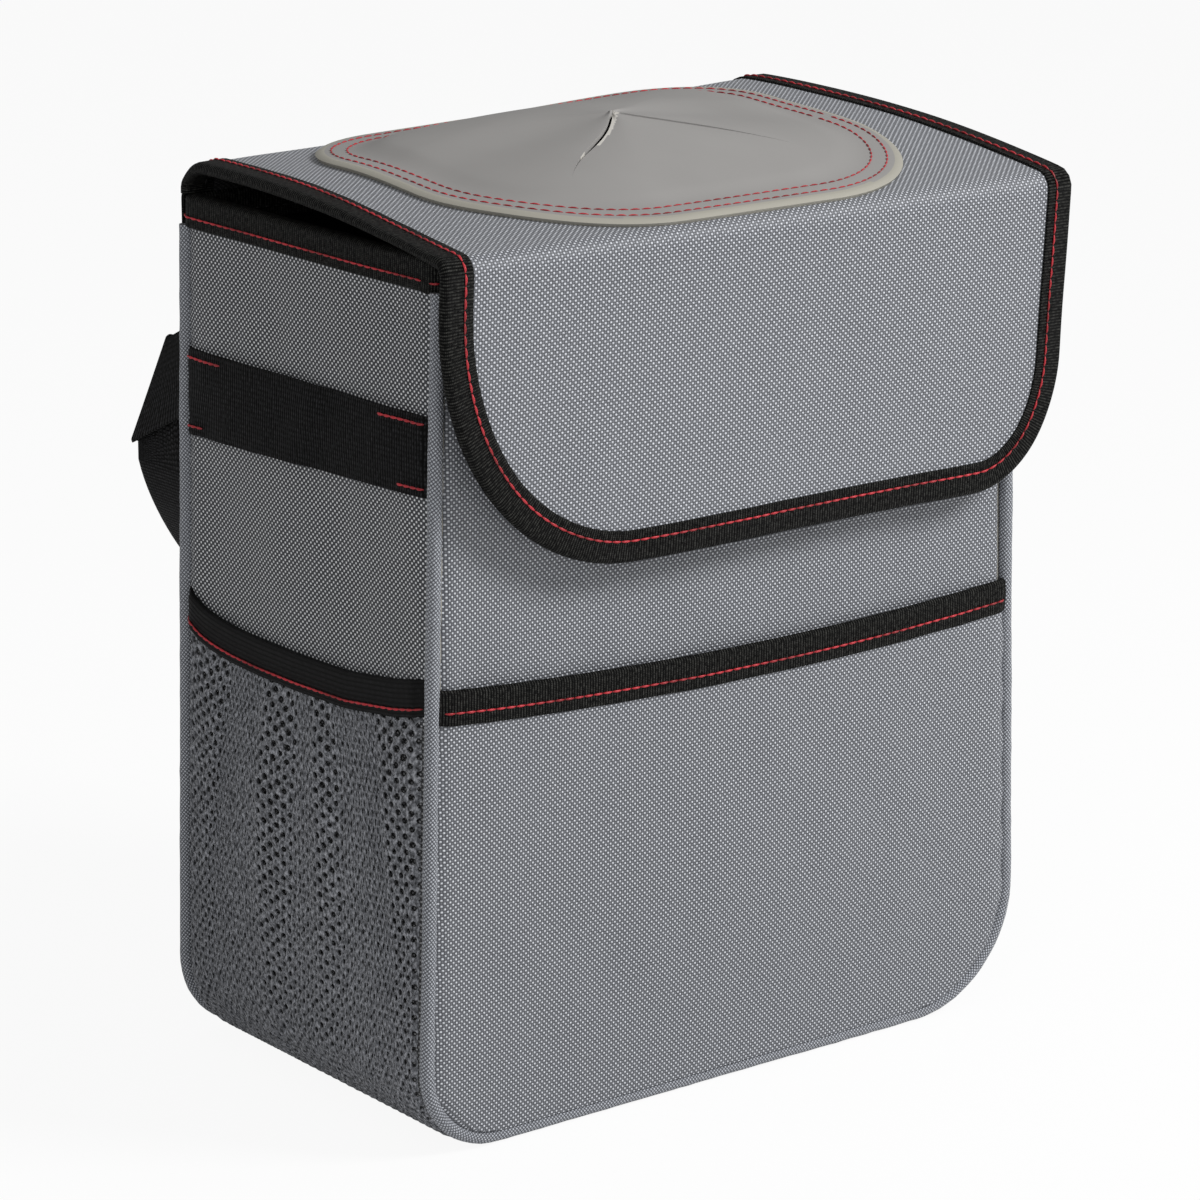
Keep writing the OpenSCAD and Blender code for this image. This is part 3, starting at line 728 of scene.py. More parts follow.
def rim_point(inward, up, j):
    """A point of the rim binding: inward from its outer face, up from its lower edge."""
    k = j % len(rim_line)
    s = rim_along[k]
    sag = 0.25 * ripple(s, s * 0, 90, 41)
    bow = 0.3 * ripple(s, up, 60, 42)
    shift = bow - inward + LEAN * (RIM_TOP - RIM_LOW - up)
    x = rim_line[k, 0] + rim_out[k, 0] * shift
    y = rim_line[k, 1] + rim_out[k, 1] * shift
    return stack(x, y, RIM_LOW + up + sag)


rim_height = RIM_TOP - RIM_LOW
rim_wide = 5.9
rim_section = [(0, 0.2), (0, 1.0)] + [(0.1, b) for b in np.linspace(2.5, rim_height - 2.6, 4)]
rim_section += [(rim_wide / 2 * (1 - math.cos(t)), rim_height - 2.4 + 2.4 * math.sin(t))
                for t in np.linspace(0.15, PI - 0.15, 9)]
rim_section += [(rim_wide - 0.1, b) for b in np.linspace(rim_height - 2.6, 1.0, 4)]
rim_section += [(rim_wide, 0.2), (rim_wide - 0.3, 0), (rim_wide - 0.8, 0.1),
                (rim_wide - 0.8, rim_height - 1.6), (0.8, rim_height - 1.6), (0.8, 0.1), (0.3, 0)]
rim_binding = swept("rim_binding_tape", rim_section, rim_count, rim_point, closed=True,
                    lengths=rim_along)
dress(rim_binding, binding_tape, "black_webbing", "bin", "rim_binding")


def rim_stitch(inward, up, facing):
    j = np.arange(rim_count)
    normals = np.stack([rim_out[j % len(rim_line), 0], rim_out[j % len(rim_line), 1],
                        0 * j], axis=1) * facing
    return rim_point(np.full(rim_count, inward), np.full(rim_count, up), j), normals


stitches("rim_stitches", [rim_stitch(0.0, 3.6, 1)], "bin")
stitches("rim_inner_stitches", [rim_stitch(rim_wide, 3.6, -1)], "bin", black_thread)


# Front pocket: a sheet bowed away from the panel, with a bound mouth

POCKET_BOW, POCKET_LOW = 2.4, 4.6


def arch(u):
    return 1 - (2 * u - 1) ** 2


def pocket_top(u):
    return 163.6 - 3.2 * u - 4.3 * arch(u)


def pocket_point(u, z, off):
    """A point of the pocket's face, lifted off it by off."""
    rise = np.clip((z - POCKET_LOW) / (pocket_top(u) - POCKET_LOW), 0, 1)
    x = across(u, z, 4.0, POCKET_LOW)
    bow = POCKET_BOW * arch(u) * np.sin(PI / 2 * rise)
    edge = fade(np.minimum(u, 1 - u), 0, 0.1)
    loose = 0.9 * ripple(x, z, 120, 51) + 0.3 * ripple(x, z, 40, 52)
    pull = 0.35 * np.sin(z / 3.0) * np.exp(-np.minimum(u, 1 - u) * 90)
    pull = pull - 1.6 * (1 - fade(np.minimum(u, 1 - u), 0.003, 0.014))
    gather = loose * edge * fade(z, 6, 45) * (1 - 0.6 * fade(z, 130, 160))
    return stack(x, -HALF_D - 0.15 - bow - gather * 0.8 - pull - off, z)


def pocket_place(u, v):
    top = pocket_top(u) - 1.0
    z = POCKET_LOW + (top - POCKET_LOW) * v ** 1.3
    points = pocket_point(u, z, 1.3)
    return points, np.stack([points[:, 0], z + 3], axis=1)


pocket = sheet("front_pocket_cloth", 80, 66, pocket_place)
thicken(pocket, 1.2)
dress(pocket, grey_oxford, "oxford_cloth", "bin", "front_pocket")

pocket_u = np.linspace(0.0, 1.0, 90)
pocket_all, pocket_flat = np.arange(len(pocket_u)), np.zeros(len(pocket_u))


def pocket_tape_point(a, b, j):
    u = pocket_u[j]
    return pocket_point(u, pocket_top(u) - a, 0.65 + b)


pocket_tape = swept("front_pocket_binding", folded_section(12, 10.5, 1.4, TAPE_T), len(pocket_u),
                    pocket_tape_point, lengths=lengths_of(
                        pocket_tape_point(pocket_flat, pocket_flat, pocket_all)))
dress(pocket_tape, binding_tape, "black_webbing", "bin", "front_pocket_tape")
pocket_seam = pocket_tape_point(pocket_flat + 7.6, pocket_flat + 1.5, pocket_all)
stitches("front_pocket_stitches",
         [(pocket_seam, np.tile([0.0, -1.0, 0.0], (len(pocket_u), 1)))], "bin")


# Mesh side pockets: knitted cloth with real holes, gathered into an elastic

MESH_TOP, MESH_WRAP, ELASTIC_W = 154.0, 66.0, 13.0
KNIT_COLUMNS, KNIT_W, KNIT_TALL = 33, 4.4, 2.75
MESH_HALF = GUSSET_Y - 0.2
mesh_start = (BODY_H - MESH_TOP) * SLANT


def mesh_run(corner):
    """Length of the mesh from its seam with the elastic to where it ends under the box."""
    straight = (MESH_TOP - corner - corner * LEAN / SLANT) * SLANT
    return straight + corner * (math.radians(MESH_WRAP) + LEAN_ANGLE)


# Height of the mouth's upper edge from back to front; it hooks up steeply at its back end.
MOUTH = ((0, 168.5), (0.02, 167), (0.045, 165.4), (0.082, 163.3), (0.12, 162.2), (0.17, 161.2),
         (0.23, 160.5), (0.34, 159.9), (0.5, 159.9), (0.71, 160.8), (0.9, 164.3), (1, 167.2))


def mouth_dip(u):
    """How far the mouth lies below its height at the seams, 167 mm."""
    fine = np.linspace(-0.1, 1.1, 241)
    line = np.interp(fine, *np.array(MOUTH).T)
    soft = np.convolve(np.pad(line, 3, mode="edge"), np.ones(7) / 7, mode="valid")
    return MESH_TOP + ELASTIC_W - np.interp(u, fine, soft)


# The elastic gathers the mesh: columns of holes lie open in some places of the mouth and are
# squeezed into folds in others. Left, the share of the columns; right, where they end up.
GATHER = ((0, 0), (0.13, 0.215), (0.385, 0.36), (0.465, 0.495), (0.565, 0.55), (0.62, 0.64),
          (0.895, 0.815), (1, 1))


def gathered(column, down):
    """Place along the wall, from 0 to 1, of a column of the mesh, and how open it lies."""
    fine = np.linspace(0, 1, 401)
    placed = np.interp(fine, *np.array(GATHER).T)
    soft = np.convolve(np.pad(placed, 8, mode="reflect", reflect_type="odd"),
                       np.ones(17) / 17, mode="valid")
    open_share = np.interp(column, fine, np.gradient(soft, fine))
    keep = (1 - down) ** 0.9
    drift = 0.07 * np.sin(2 * PI * column) * np.sin(PI * down) ** 0.8
    return column + keep * (np.interp(column, fine, soft) - column) - drift, open_share


def wall_at(side, s, off):
    """(x, z) at a distance down the left (1) or right (-1) wall, lifted off it by off."""
    return wall_run.at(s if side > 0 else wall_run.length - s, off)


def mesh_point(side, u, s, off, fold=0.0):
    """A point of the side pocket: u runs from back to front, s down from the mesh's seam."""
    down = np.clip(s / mesh_run(LEFT_R if side > 0 else RIGHT_R), 0, 1)
    end = np.minimum(u, 1 - u)
    free = fade(end, 0, 0.1)
    bow = (1.0 + 14 * down) * (1 - down) ** 2 * np.clip(arch(u), 0, 1) ** 0.55
    soft = 0.6 * ripple(u * 140, s, 60, 61 + side) * fade(down, 0, 0.25) * (1 - down)
    folds = fold * fade(down, 0, 0.12) * (1 - down) ** 1.3
    lift = 0.25 - 2.6 * (1 - fade(end, 0, 0.03)) + bow + free * (soft + folds)
    x, z = wall_at(side, mesh_start + s + mouth_dip(u) * (1 - down), lift + off)
    return stack(x, MESH_HALF * (1 - 2 * u), z)


def knit_lattice(name, side):
    """Rows of diamond cells half a cell apart, with a hole in each."""
    columns, tall = KNIT_COLUMNS, KNIT_TALL
    length = mesh_run(LEFT_R if side > 0 else RIGHT_R)
    grid_c, grid_r = np.meshgrid(np.arange(-1, columns + 1), np.arange(int(length / tall) + 1))
    centre_c = (grid_c + 0.5 * (grid_r % 2) + 0.25).ravel()
    centre_s = grid_r.ravel() * tall
    keep = (centre_c > -0.2) & (centre_c < columns + 0.2)
    centre_c, centre_s = centre_c[keep], centre_s[keep]
    turn = np.arange(8) * PI / 4
    reach = np.where(np.arange(8) % 2 == 0, 1.0, 1 / math.sqrt(2))
    low = (centre_s / length)[:, None]
    pick = np.random.default_rng(66)
    hole, stand, shift_c, shift_s = pick.uniform(-1, 1, (4, len(low), 1))
    hole = 1.1 + 0.12 * hole
    share = np.clip(centre_c / columns, 0, 1)
    _, open_share = gathered(share if side > 0 else 1 - share, low[:, 0])
    spread = 1 + (open_share[:, None] - 1) * (1 - low) ** 0.9
    squeeze = 0.5 + 0.42 * np.clip((spread - 0.55) / 0.8, 0, 1)
    c = centre_c[:, None] + np.hstack([
        np.tile(0.5 * reach * np.cos(turn), (len(low), 1)),
        (0.235 - 0.03 * low) * squeeze * hole * np.cos(turn) + 0.02 * shift_c])
    q = centre_s[:, None] + np.hstack([
        np.tile(tall * reach * np.sin(turn), (len(low), 1)),
        (1.2 - 0.35 * low) * hole * np.sin(turn) + 0.15 * shift_s])
    column = np.clip(c.ravel() / columns, 0, 1)
    s = np.clip(q.ravel(), -1.5, length)
    u, open_share = gathered(column if side > 0 else 1 - column, np.clip(s / length, 0, 1))
    fold = 2.0 * np.tanh(2 * (open_share - 1))
    height = 0.8 + np.hstack([0.25 * np.cos(2 * turn) + 0.1 + 0 * stand,
                              0.2 * stand + 0 * turn - 0.15]).ravel()
    points = mesh_point(side, u if side > 0 else 1 - u, s, height, fold)
    first = np.arange(len(low)) * 16
    faces = np.concatenate([
        np.stack([first + k, first + (k + 1) % 8, first + 8 + (k + 1) % 8, first + 8 + k], axis=1)
        for k in range(8)])
    flat = np.stack([c.ravel() * KNIT_W, q.ravel()], axis=1)
    piece = built(name, points, faces.tolist(), flat)
    cut_from(name, flat, np.prod(np.ptp(flat, axis=0)) * MM * MM)
    weld(piece, 2e-5)
    if sum(face.normal[0] * face.area for face in piece.data.polygons) * side > 0:
        flip(piece)
    thicken(piece, 0.7)
    return piece


elastic_u = np.linspace(0.0, 1.0, 80)


def elastic_point(side, a, b, j):
    """The elastic folded over the mesh's mouth; a runs down from its upper edge."""
    return mesh_point(side, elastic_u[j], a - ELASTIC_W, 0.45 + b)


for side, name in ((1, "left"), (-1, "right")):
    mesh_pocket = knit_lattice(name + "_mesh_pocket", side)
    dress(mesh_pocket, knit, "mesh_knit", "bin", name + "_mesh", smooth=60)
    every, none = np.arange(len(elastic_u)), np.zeros(len(elastic_u))
    outward = np.tile([-1.0 * side, 0.0, 0.0], (len(elastic_u), 1))
    band = swept(name + "_pocket_elastic", folded_section(13, 12, 1.0, 0.9), len(elastic_u),
                 lambda a, b, j: elastic_point(side, a, b, j),
                 lengths=lengths_of(elastic_point(side, none, none, every)))
    dress(band, elastic, "black_webbing", "bin", name + "_elastic")
    seam = elastic_point(side, none + 10.2, none + 1.4, every)
    stitches(name + "_elastic_stitches", [(seam, outward)], "bin", pitch=3.6, dash=3.5,
             thick=1.0)


# Webbing band sewn across each side, with short red rows at its four corners

def band_place(side, off):
    def place(u, v):
        y = (2 * u - 1) * (GUSSET_Y + 0.4)
        back = (y + GUSSET_Y) / (2 * GUSSET_Y)
        low, high = 227.9 - 5.0 * back, 254.8 - 1.4 * back
        z = high + (low - high) * v
        s = (BODY_H - z) * SLANT
        swell = 0.5 * np.sin(PI * v) + 0.9 * np.sin(PI * u) ** 0.7 + 0.3 * ripple(y, z, 40, 71)
        tuck = fade(np.abs(y), GUSSET_Y - 2.5, GUSSET_Y)
        x, height = wall_at(side, s, wall_wave(y, s if side > 0 else wall_run.length - s)
                            + off * (1 - 0.4 * tuck) + swell * (1 - tuck) - 0.5 * tuck
                            - 1.0 * fade(y, GUSSET_Y - 5, GUSSET_Y))
        return stack(x, y, height), np.stack([z, y], axis=1)
    return place


for side, name in ((1, "left"), (-1, "right")):
    strip = sheet(name + "_webbing_band", 60, 12, band_place(side, 1.3))
    if side < 0:
        flip(strip)
    thicken(strip, 1.3)
    dress(strip, webbing, "black_webbing", "bin", name + "_band")
    rows = []
    for first, last, level in ((0.83, 0.995, 0.1), (0.91, 0.995, 0.9), (0.005, 0.18, 0.1),
                               (0.005, 0.11, 0.9)):
        u = np.linspace(first, last, 20)
        line = band_place(side, 1.4)(u, np.full(20, level))[0]
        rows.append((line, np.tile([-1.0 * side, 0.0, 0.0], (20, 1))))
    stitches(name + "_band_stitches", rows, "bin", pitch=3.4, dash=3.3, thick=1.0)


# Hanging strap: sewn in both back seams, folded over and hanging in a loop behind

STRAP_W, STRAP_Z, STRAP_REACH, STRAP_LOW = 28.0, 258.0, 35.5, 118.0
STRAP_DROOP = math.radians(24)
STRAP_T, TURN_R = 1.4, 1.3
strap_y = HALF_D + PIPING_PROUD + 0.1
strap_x = side_x(239, PIPING_R)
strap_end_z = STRAP_Z - STRAP_W / math.cos(STRAP_DROOP)
turn_outer = np.array([HALF_D + STRAP_REACH, strap_end_z - STRAP_REACH * math.tan(STRAP_DROOP)])
turn_inner = np.array([turn_outer[0] - STRAP_W * math.cos(STRAP_DROOP), STRAP_Z - 4])
turn_away = (turn_inner - turn_outer) / np.linalg.norm(turn_inner - turn_outer)
turn_away = np.array([turn_away[1], -turn_away[0]])
loop_x, loop_top = strap_x - 2 * TURN_R, turn_outer[1] - 6


def loop_at(t):
    """(x, z) of the hanging loop at a share t from its left end to its middle."""
    ends = [np.array(p) for p in ((loop_x, loop_top), (loop_x - 10, STRAP_LOW + 42),
                                  (loop_x * 0.5, STRAP_LOW), (0, STRAP_LOW))]
    k = 1 - t
    return k ** 3 * ends[0] + 3 * k * k * t * ends[1] + 3 * k * t * t * ends[2] + t ** 3 * ends[3]


def strap_stations():
    """Inner edge, outer edge and facing of the strap, from its left seam to its middle."""
    seam_in = np.array([strap_x, strap_y, STRAP_Z])
    seam_out = np.array([strap_x, strap_y, strap_end_z])
    bend_in = np.array([strap_x, *turn_inner])
    bend_out = np.array([strap_x, *turn_outer])
    rows = []
    for t in np.linspace(0, 1, 8)[:-1]:
        rows.append((seam_in + t * (bend_in - seam_in), seam_out + t * (bend_out - seam_out),
                     np.array([-1.0, 0, 0])))
    for angle in np.linspace(0, PI, 9):
        step = np.array([-TURN_R * (1 - math.cos(angle)), TURN_R * math.sin(angle) * turn_away[0],
                         TURN_R * math.sin(angle) * turn_away[1]])
        facing = np.array([-math.cos(angle), -math.sin(angle) * turn_away[0],
                           -math.sin(angle) * turn_away[1]])
        rows.append((bend_in + step, bend_out + step, facing))
    for t in np.linspace(0, 1, 36):
        spot = loop_at(t)
        ahead = loop_at(min(1, t + 0.01)) - loop_at(max(0, t - 0.01))
        ahead = ahead / np.linalg.norm(ahead)
        rows.append((np.array([spot[0], turn_outer[0] - STRAP_W, spot[1]]),
                     np.array([spot[0], turn_outer[0], spot[1]]),
                     np.array([-ahead[1], 0, ahead[0]])))
    return rows


half_strap = strap_stations()
mirror = np.array([-1, 1, 1])
strap_rows = half_strap + [(a * mirror, b * mirror, c * mirror)
                           for a, b, c in half_strap[-2::-1]]
strap_inner, strap_outer, strap_facing = (np.array(k) for k in zip(*strap_rows))
strap_along = lengths_of((strap_inner + strap_outer) / 2)


def strap_point(a, b, j):
    share = (a / STRAP_W)[:, None]
    wave = 0.5 * ripple(strap_along[j], a, 55, 81) * fade(strap_along[j], 5, 60) * fade(
        strap_along[-1] - strap_along[j], 5, 60)
    middle = strap_inner[j] + share * (strap_outer[j] - strap_inner[j])
    return middle + strap_facing[j] * (b[:, None] + wave[:, None])


strap_section = [(a, STRAP_T / 2) for a in np.linspace(0.5, STRAP_W - 0.5, 12)]
strap_section += [(STRAP_W, 0.3), (STRAP_W, -0.3)]
strap_section += [(a, -STRAP_T / 2) for a in np.linspace(STRAP_W - 0.5, 0.5, 12)]
strap_section += [(0, -0.3), (0, 0.3)]
strap = swept("hanging_strap_webbing", strap_section, len(strap_rows), strap_point,
              lengths=strap_along)
dress(strap, webbing, "black_webbing", "bin", "hanging_strap")


# Lid: one padded sheet over the top and down the front. Its own coordinates are x across
# and t along it, from the hinge over the back bend, the arch and the front fold downwards.

LID_T, LID_BACK_Y, LID_REACH, LID_RISE, ARCH_R = 3.8, 74.0, 17.0, 15.5, 800.0
BACK_R, FOLD_R, SKIRT_L, SKIRT_LEAN = 14.0, 6.0, 106.4, math.radians(3.5)
LID_BACK_HALF, LID_START = 125.2, BODY_H + 0.6
ARCH_Y, ARCH_Z = LID_BACK_Y - BACK_R - 10, BODY_H + LID_RISE - ARCH_R
SKIRT_Y = -HALF_D - LID_REACH


class LidRun:
    """The lid's outer face seen from the side, as points, outward normals and lengths."""

    def __init__(self):
        bend_y = LID_BACK_Y - BACK_R
        bend_z = ARCH_Z + math.sqrt((ARCH_R - BACK_R) ** 2 - (bend_y - ARCH_Y) ** 2)
        fold_y = SKIRT_Y + FOLD_R
        fold_z = ARCH_Z + math.sqrt((ARCH_R - FOLD_R) ** 2 - (fold_y - ARCH_Y) ** 2)
        bend_end = PI / 2 - math.asin((bend_y - ARCH_Y) / (ARCH_R - BACK_R))
        fold_start = PI / 2 + math.asin((ARCH_Y - fold_y) / (ARCH_R - FOLD_R))
        parts = [([[LID_BACK_Y, z]], [[1.0, 0.0]]) for z in np.linspace(LID_START, bend_z, 6)[:-1]]
        for centre, r, start, end, count in (
                ((bend_y, bend_z), BACK_R, 0, bend_end, 20),
                ((ARCH_Y, ARCH_Z), ARCH_R, bend_end, fold_start, 60),
                ((fold_y, fold_z), FOLD_R, fold_start, PI + SKIRT_LEAN, 20)):
            turn = np.linspace(start, end, count)
            ring = np.stack([np.cos(turn), np.sin(turn)], axis=1)
            parts.append((np.array(centre) + r * ring, ring))
        end = parts[-1][0][-1]
        down = np.array([math.sin(SKIRT_LEAN), -math.cos(SKIRT_LEAN)])
        out = np.array([-math.cos(SKIRT_LEAN), -math.sin(SKIRT_LEAN)])
        skirt = end + np.linspace(0, SKIRT_L, 60)[1:, None] * down
        parts.append((skirt, np.tile(out, (59, 1))))
        line = np.vstack([p for p, _ in parts])
        normals = np.vstack([n for _, n in parts])
        keep = np.concatenate([[True], np.linalg.norm(np.diff(line, axis=0), axis=1) > 1e-6])
        self.line, self.normals = line[keep], normals[keep]
        self.t = lengths_of(self.line)
        self.end = self.t[-1]
        self.skirt = self.end - SKIRT_L
        self.fold = self.skirt - FOLD_R * 1.6

    def at(self, t, off):
        """(y, z) at length t, off millimetres below the outer face."""
        y, z = (np.interp(t, self.t, self.line[:, i]) for i in (0, 1))
        ny, nz = (np.interp(t, self.t, self.normals[:, i]) for i in (0, 1))
        return y - off * ny, z - off * nz


lid_run = LidRun()


def lid_settle(points):
    """The lid's own set: it stands a little higher at its right and sags between its edges."""
    x, y, z = points.T
    free = fade(z, BODY_H + 1, BODY_H + 13) * fade(y, -93, -80)
    twist = x * (0.006 + 0.02 * np.clip((y + 90) / 152, 0, 1.2))
    dip = -1.6 * fade(-y, 20, 85) * fade(-x, 60, 134)
    wave = 0.5 * ripple(x, y, 95, 91) * fade(134 - np.abs(x), 0, 40)
    billow = (1.2 * ripple(x, z, 120, 92) + 0.35 * ripple(x, z, 42, 93)) * fade(
        BODY_H - z, 6, 60) * fade(-y, 70, 84)
    return np.stack([x, y - billow * 0.6, z + (twist + dip + wave) * free], axis=1)


def lid_point(x, t, off):
    y, z = lid_run.at(t, off)
    return lid_settle(stack(x, y, z))


# Each side of the lid: half its width at the front fold, and the width and height of the
# quarter ellipse at its lower corner. The left corner is cut fuller, as photographed.
LEFT_EDGE, RIGHT_EDGE = (133.3, 83.0, 95.0), (137.3, 37.0, 47.0)


def lid_edge_half(t, edge):
    """Half the lid's width at length t, inside its rounded lower corner."""
    y, _ = lid_run.at(t, 0)
    front, wide, tall = edge
    half = LID_BACK_HALF + (front - LID_BACK_HALF) * (HALF_D - y) / (HALF_D - SKIRT_Y)
    half = np.where(t > lid_run.skirt, front, np.minimum(half, front))
    drop = np.clip((t - (lid_run.end - tall)) / tall, 0, 1)
    return half - wide * (1 - np.sqrt(1 - drop ** 2))


def lid_border():
    """The lid's edge from its left back end round the skirt to its right back end."""
    def half_line(edge, sign):
        front, wide, tall = edge
        straight = np.linspace(0, lid_run.end - tall, 80)
        lines = [np.stack([sign * lid_edge_half(straight, edge), straight], axis=1)]
        turn = np.linspace(0, PI / 2, 34)[1:]
        lines.append(np.stack([sign * (front - wide + wide * np.cos(turn)),
                               lid_run.end - tall + tall * np.sin(turn)], axis=1))
        return np.vstack(lines)
    left, right = half_line(LEFT_EDGE, -1), half_line(RIGHT_EDGE, 1)
    bottom = np.linspace(left[-1], right[-1], 40)[1:-1]
    line = np.vstack([left, bottom, right[::-1]])
    heading = unit(np.gradient(line, axis=0))
    inward = np.stack([heading[:, 1], -heading[:, 0]], axis=1)
    to_middle = np.array([0, lid_run.end / 2]) - line
    inward *= np.where((inward * to_middle).sum(1) < 0, -1, 1)[:, None]
    return line, inward


border, border_in = lid_border()
border_along = lengths_of(border)


# How far the lid's layers end inside its edge
LAYER_INSET = 0.9


def lid_stations():
    """Rows down the lid, closer together in the rounded corners."""
    rows = [np.linspace(0, lid_run.skirt, 70)[:-1]]
    tall = LEFT_EDGE[2]
    rows.append(np.linspace(lid_run.skirt, lid_run.end - tall, 6)[:-1])
    turn = np.linspace(0, PI / 2, 34)
    rows.append(lid_run.end - tall + (tall - LAYER_INSET) * np.sin(turn))
    return np.concatenate(rows)


def pinch(edge):
    """Share of its depth that a layer keeps where the edge tape presses the lid together."""
    return 1 - 0.3 * fade(14 - edge, 0, 6)


def lid_layer(name, off, wall):
    """One layer of the lid, off millimetres under its outer face, with its mouth cut out."""
    rows = lid_stations()

    def place(u, v):
        t = rows[np.rint(v * (len(rows) - 1)).astype(int)]
        grown = lid_run.end / (lid_run.end - LAYER_INSET)
        left = lid_edge_half(t * grown, LEFT_EDGE) - LAYER_INSET
        right = lid_edge_half(t * grown, RIGHT_EDGE) - LAYER_INSET
        x = left * (u - 1) + right * u
        edge = np.minimum(np.minimum(x + left, right - x), (lid_run.end - t) * 1.2)
        return lid_point(x, t, off * pinch(edge)), np.stack([x, t], axis=1)

    piece = sheet(name, 72, len(rows) - 1, place)
    face_outwards(piece)
    if max(piece.data.polygons, key=lambda f: f.center[2]).normal[2] < 0:
        flip(piece)
    thicken(piece, wall)
    cut_mouth(piece)
    return piece


# Slit pad and the opening under it

PAD_Y, PAD_HALF_X, PAD_HALF_Y, PAD_T = -14.0, 96.5, 74.5, 2.2
PAD_FRONT_R, PAD_BACK_R, PAD_FLANGE, PAD_RISE, SLIT_L = 64.0, 39.0, 18.0, 13.5, 62.0


def pad_reach(angle, inset):
    """Distance from the pad's middle to its outline, moved in by inset, in a direction."""
    c, s = np.abs(np.cos(angle)), np.abs(np.sin(angle))
    half_x, half_y = PAD_HALF_X - inset, PAD_HALF_Y - inset
    r = np.where(np.sin(angle) < 0, PAD_FRONT_R, PAD_BACK_R) - inset
    flat = np.minimum(half_x / np.maximum(c, 1e-9), half_y / np.maximum(s, 1e-9))
    px, py = half_x - r, half_y - r
    along = px * c + py * s
    curved = along + np.sqrt(np.maximum(along ** 2 - (px ** 2 + py ** 2 - r * r), 0))
    return np.where((flat * c > px) & (flat * s > py), curved, flat)


def cut_mouth(piece):
    """Cuts the opening that the slit pad spans out of a layer of the lid."""
    turn = np.linspace(0, 2 * PI, 97)[:-1]
    reach = pad_reach(turn, PAD_FLANGE)
    bpy.ops.object.select_all(action="DESELECT")
    bpy.ops.mesh.primitive_cylinder_add(vertices=96, radius=1, depth=0.08, location=(0, 0, 0.31))
    cutter = bpy.context.object
    bpy.ops.object.transform_apply(location=True)
    mesh = cutter.data
    for vertex in mesh.vertices:
        angle = math.atan2(vertex.co.y, vertex.co.x)
        k = float(np.interp(angle % (2 * PI), np.append(turn, 2 * PI), np.append(reach, reach[0])))
        vertex.co.x = k * math.cos(angle) * MM
        vertex.co.y = (PAD_Y + k * math.sin(angle)) * MM
    apply_modifier(piece, "BOOLEAN", operation="DIFFERENCE", object=cutter, solver="EXACT")
    bpy.data.objects.remove(cutter)


lid_cover = lid_layer("lid_cloth", 0.0, 1.3)
dress(lid_cover, lid_oxford, "oxford_cloth", "lid", "lid_cover")
lid_pad = lid_layer("lid_foam", 1.35, 1.5)
dress(lid_pad, black_foam, "foam", "lid", "lid_padding")
lid_lining = lid_layer("lid_lining_cloth", 2.95, 0.8)
dress(lid_lining, black_oxford, "liner_film", "lid", "lid_lining")


# Thickness of the lid where the tape presses it together
EDGE_T = 2.8


def border_point(a, b, j):
    x = border[j, 0] + a * border_in[j, 0]
    t = border[j, 1] + a * border_in[j, 1]
    return lid_point(x, np.clip(t, 0, None), EDGE_T / 2 - b)


lid_binding = swept("lid_binding_tape", folded_section(11.6, 11.6, EDGE_T, TAPE_T, nose=2.0),
                    len(border), border_point, lengths=border_along)
dress(lid_binding, binding_tape, "black_webbing", "lid", "lid_binding")


def border_stitch(a, facing):
    """A row along the binding, on its outer face or on its lining side."""
    j = np.arange(len(border))
    lift = facing * (EDGE_T / 2 + TAPE_T)
    line = border_point(np.full(len(j), a), np.full(len(j), lift), j)
    inside = border_point(np.full(len(j), a), np.full(len(j), lift - facing), j)
    return line, unit(line - inside)


stitches("lid_binding_stitches", [border_stitch(8.1, 1)], "lid")
stitches("lid_inner_stitches", [border_stitch(8.1, -1)], "lid", black_thread)


# Inlet pad: four petals between crossed slits, flat at the sewn edge and pushed up inside

def lid_top(x, y):
    """Height of the lid's outer face under a point."""
    z = ARCH_Z + np.sqrt(ARCH_R ** 2 - (y - ARCH_Y) ** 2)
    return lid_settle(stack(x, y, z))[:, 2]


slit_angle = math.atan2(PAD_HALF_Y - PAD_FLANGE, PAD_HALF_X - PAD_FLANGE)
SLITS = [slit_angle, PI - slit_angle, PI + slit_angle, 2 * PI - slit_angle]
# Each slit, from the right back one round by the left: how far it gapes at the middle, and how
# much higher the petal after it lies than the one before it. The left front one stands open.
SLIT_GAPE = (0.45, 0.1, 0.42, 0.05)
SLIT_STEP = (-1.3, 0.2, -1.6, 0.5)
# The slits cross this far from the pad's middle, and the open one is bent by this much.
PAD_CROSS, SLIT_BEND = -6.0, 1.3


def petal_place(index):
    start = SLITS[index]
    stop = SLITS[(index + 1) % 4] + (2 * PI if index == 3 else 0)

    def place(u, v):
        angle = start + (stop - start) * u
        edge = pad_reach(angle, 0)
        reach = edge * (v ** 0.9)
        x, y = reach * np.cos(angle), reach * np.sin(angle)
        lift = petal_lift(x, y)
        x = x + PAD_CROSS * (1 - reach / edge) ** 2
        free = fade(SLIT_L - reach, 0, 40)
        for near, which, sign in ((1 - u, index, 1), (u, (index + 1) % 4, -1)):
            near = fade(near, 0, 1) ** 5
            turn = start if sign > 0 else stop
            push = SLIT_GAPE[which] * free * sign
            wave = np.sin(2 * PI * np.clip(reach / SLIT_L, 0, 1))
            bend = SLIT_BEND * wave * (which == 2)
            x = x - near * math.sin(turn) * (push + bend)
            y = y + near * math.cos(turn) * (push + bend)
            lift = lift + near * free * sign * SLIT_STEP[which] / 2
        round_off = fade(edge - reach, 0, 1.8)
        z = lid_top(x, PAD_Y + y) + 0.1 + PAD_T * (0.55 + 0.45 * round_off) + lift
        return stack(x, PAD_Y + y, z), np.stack([x, y], axis=1)
    return place


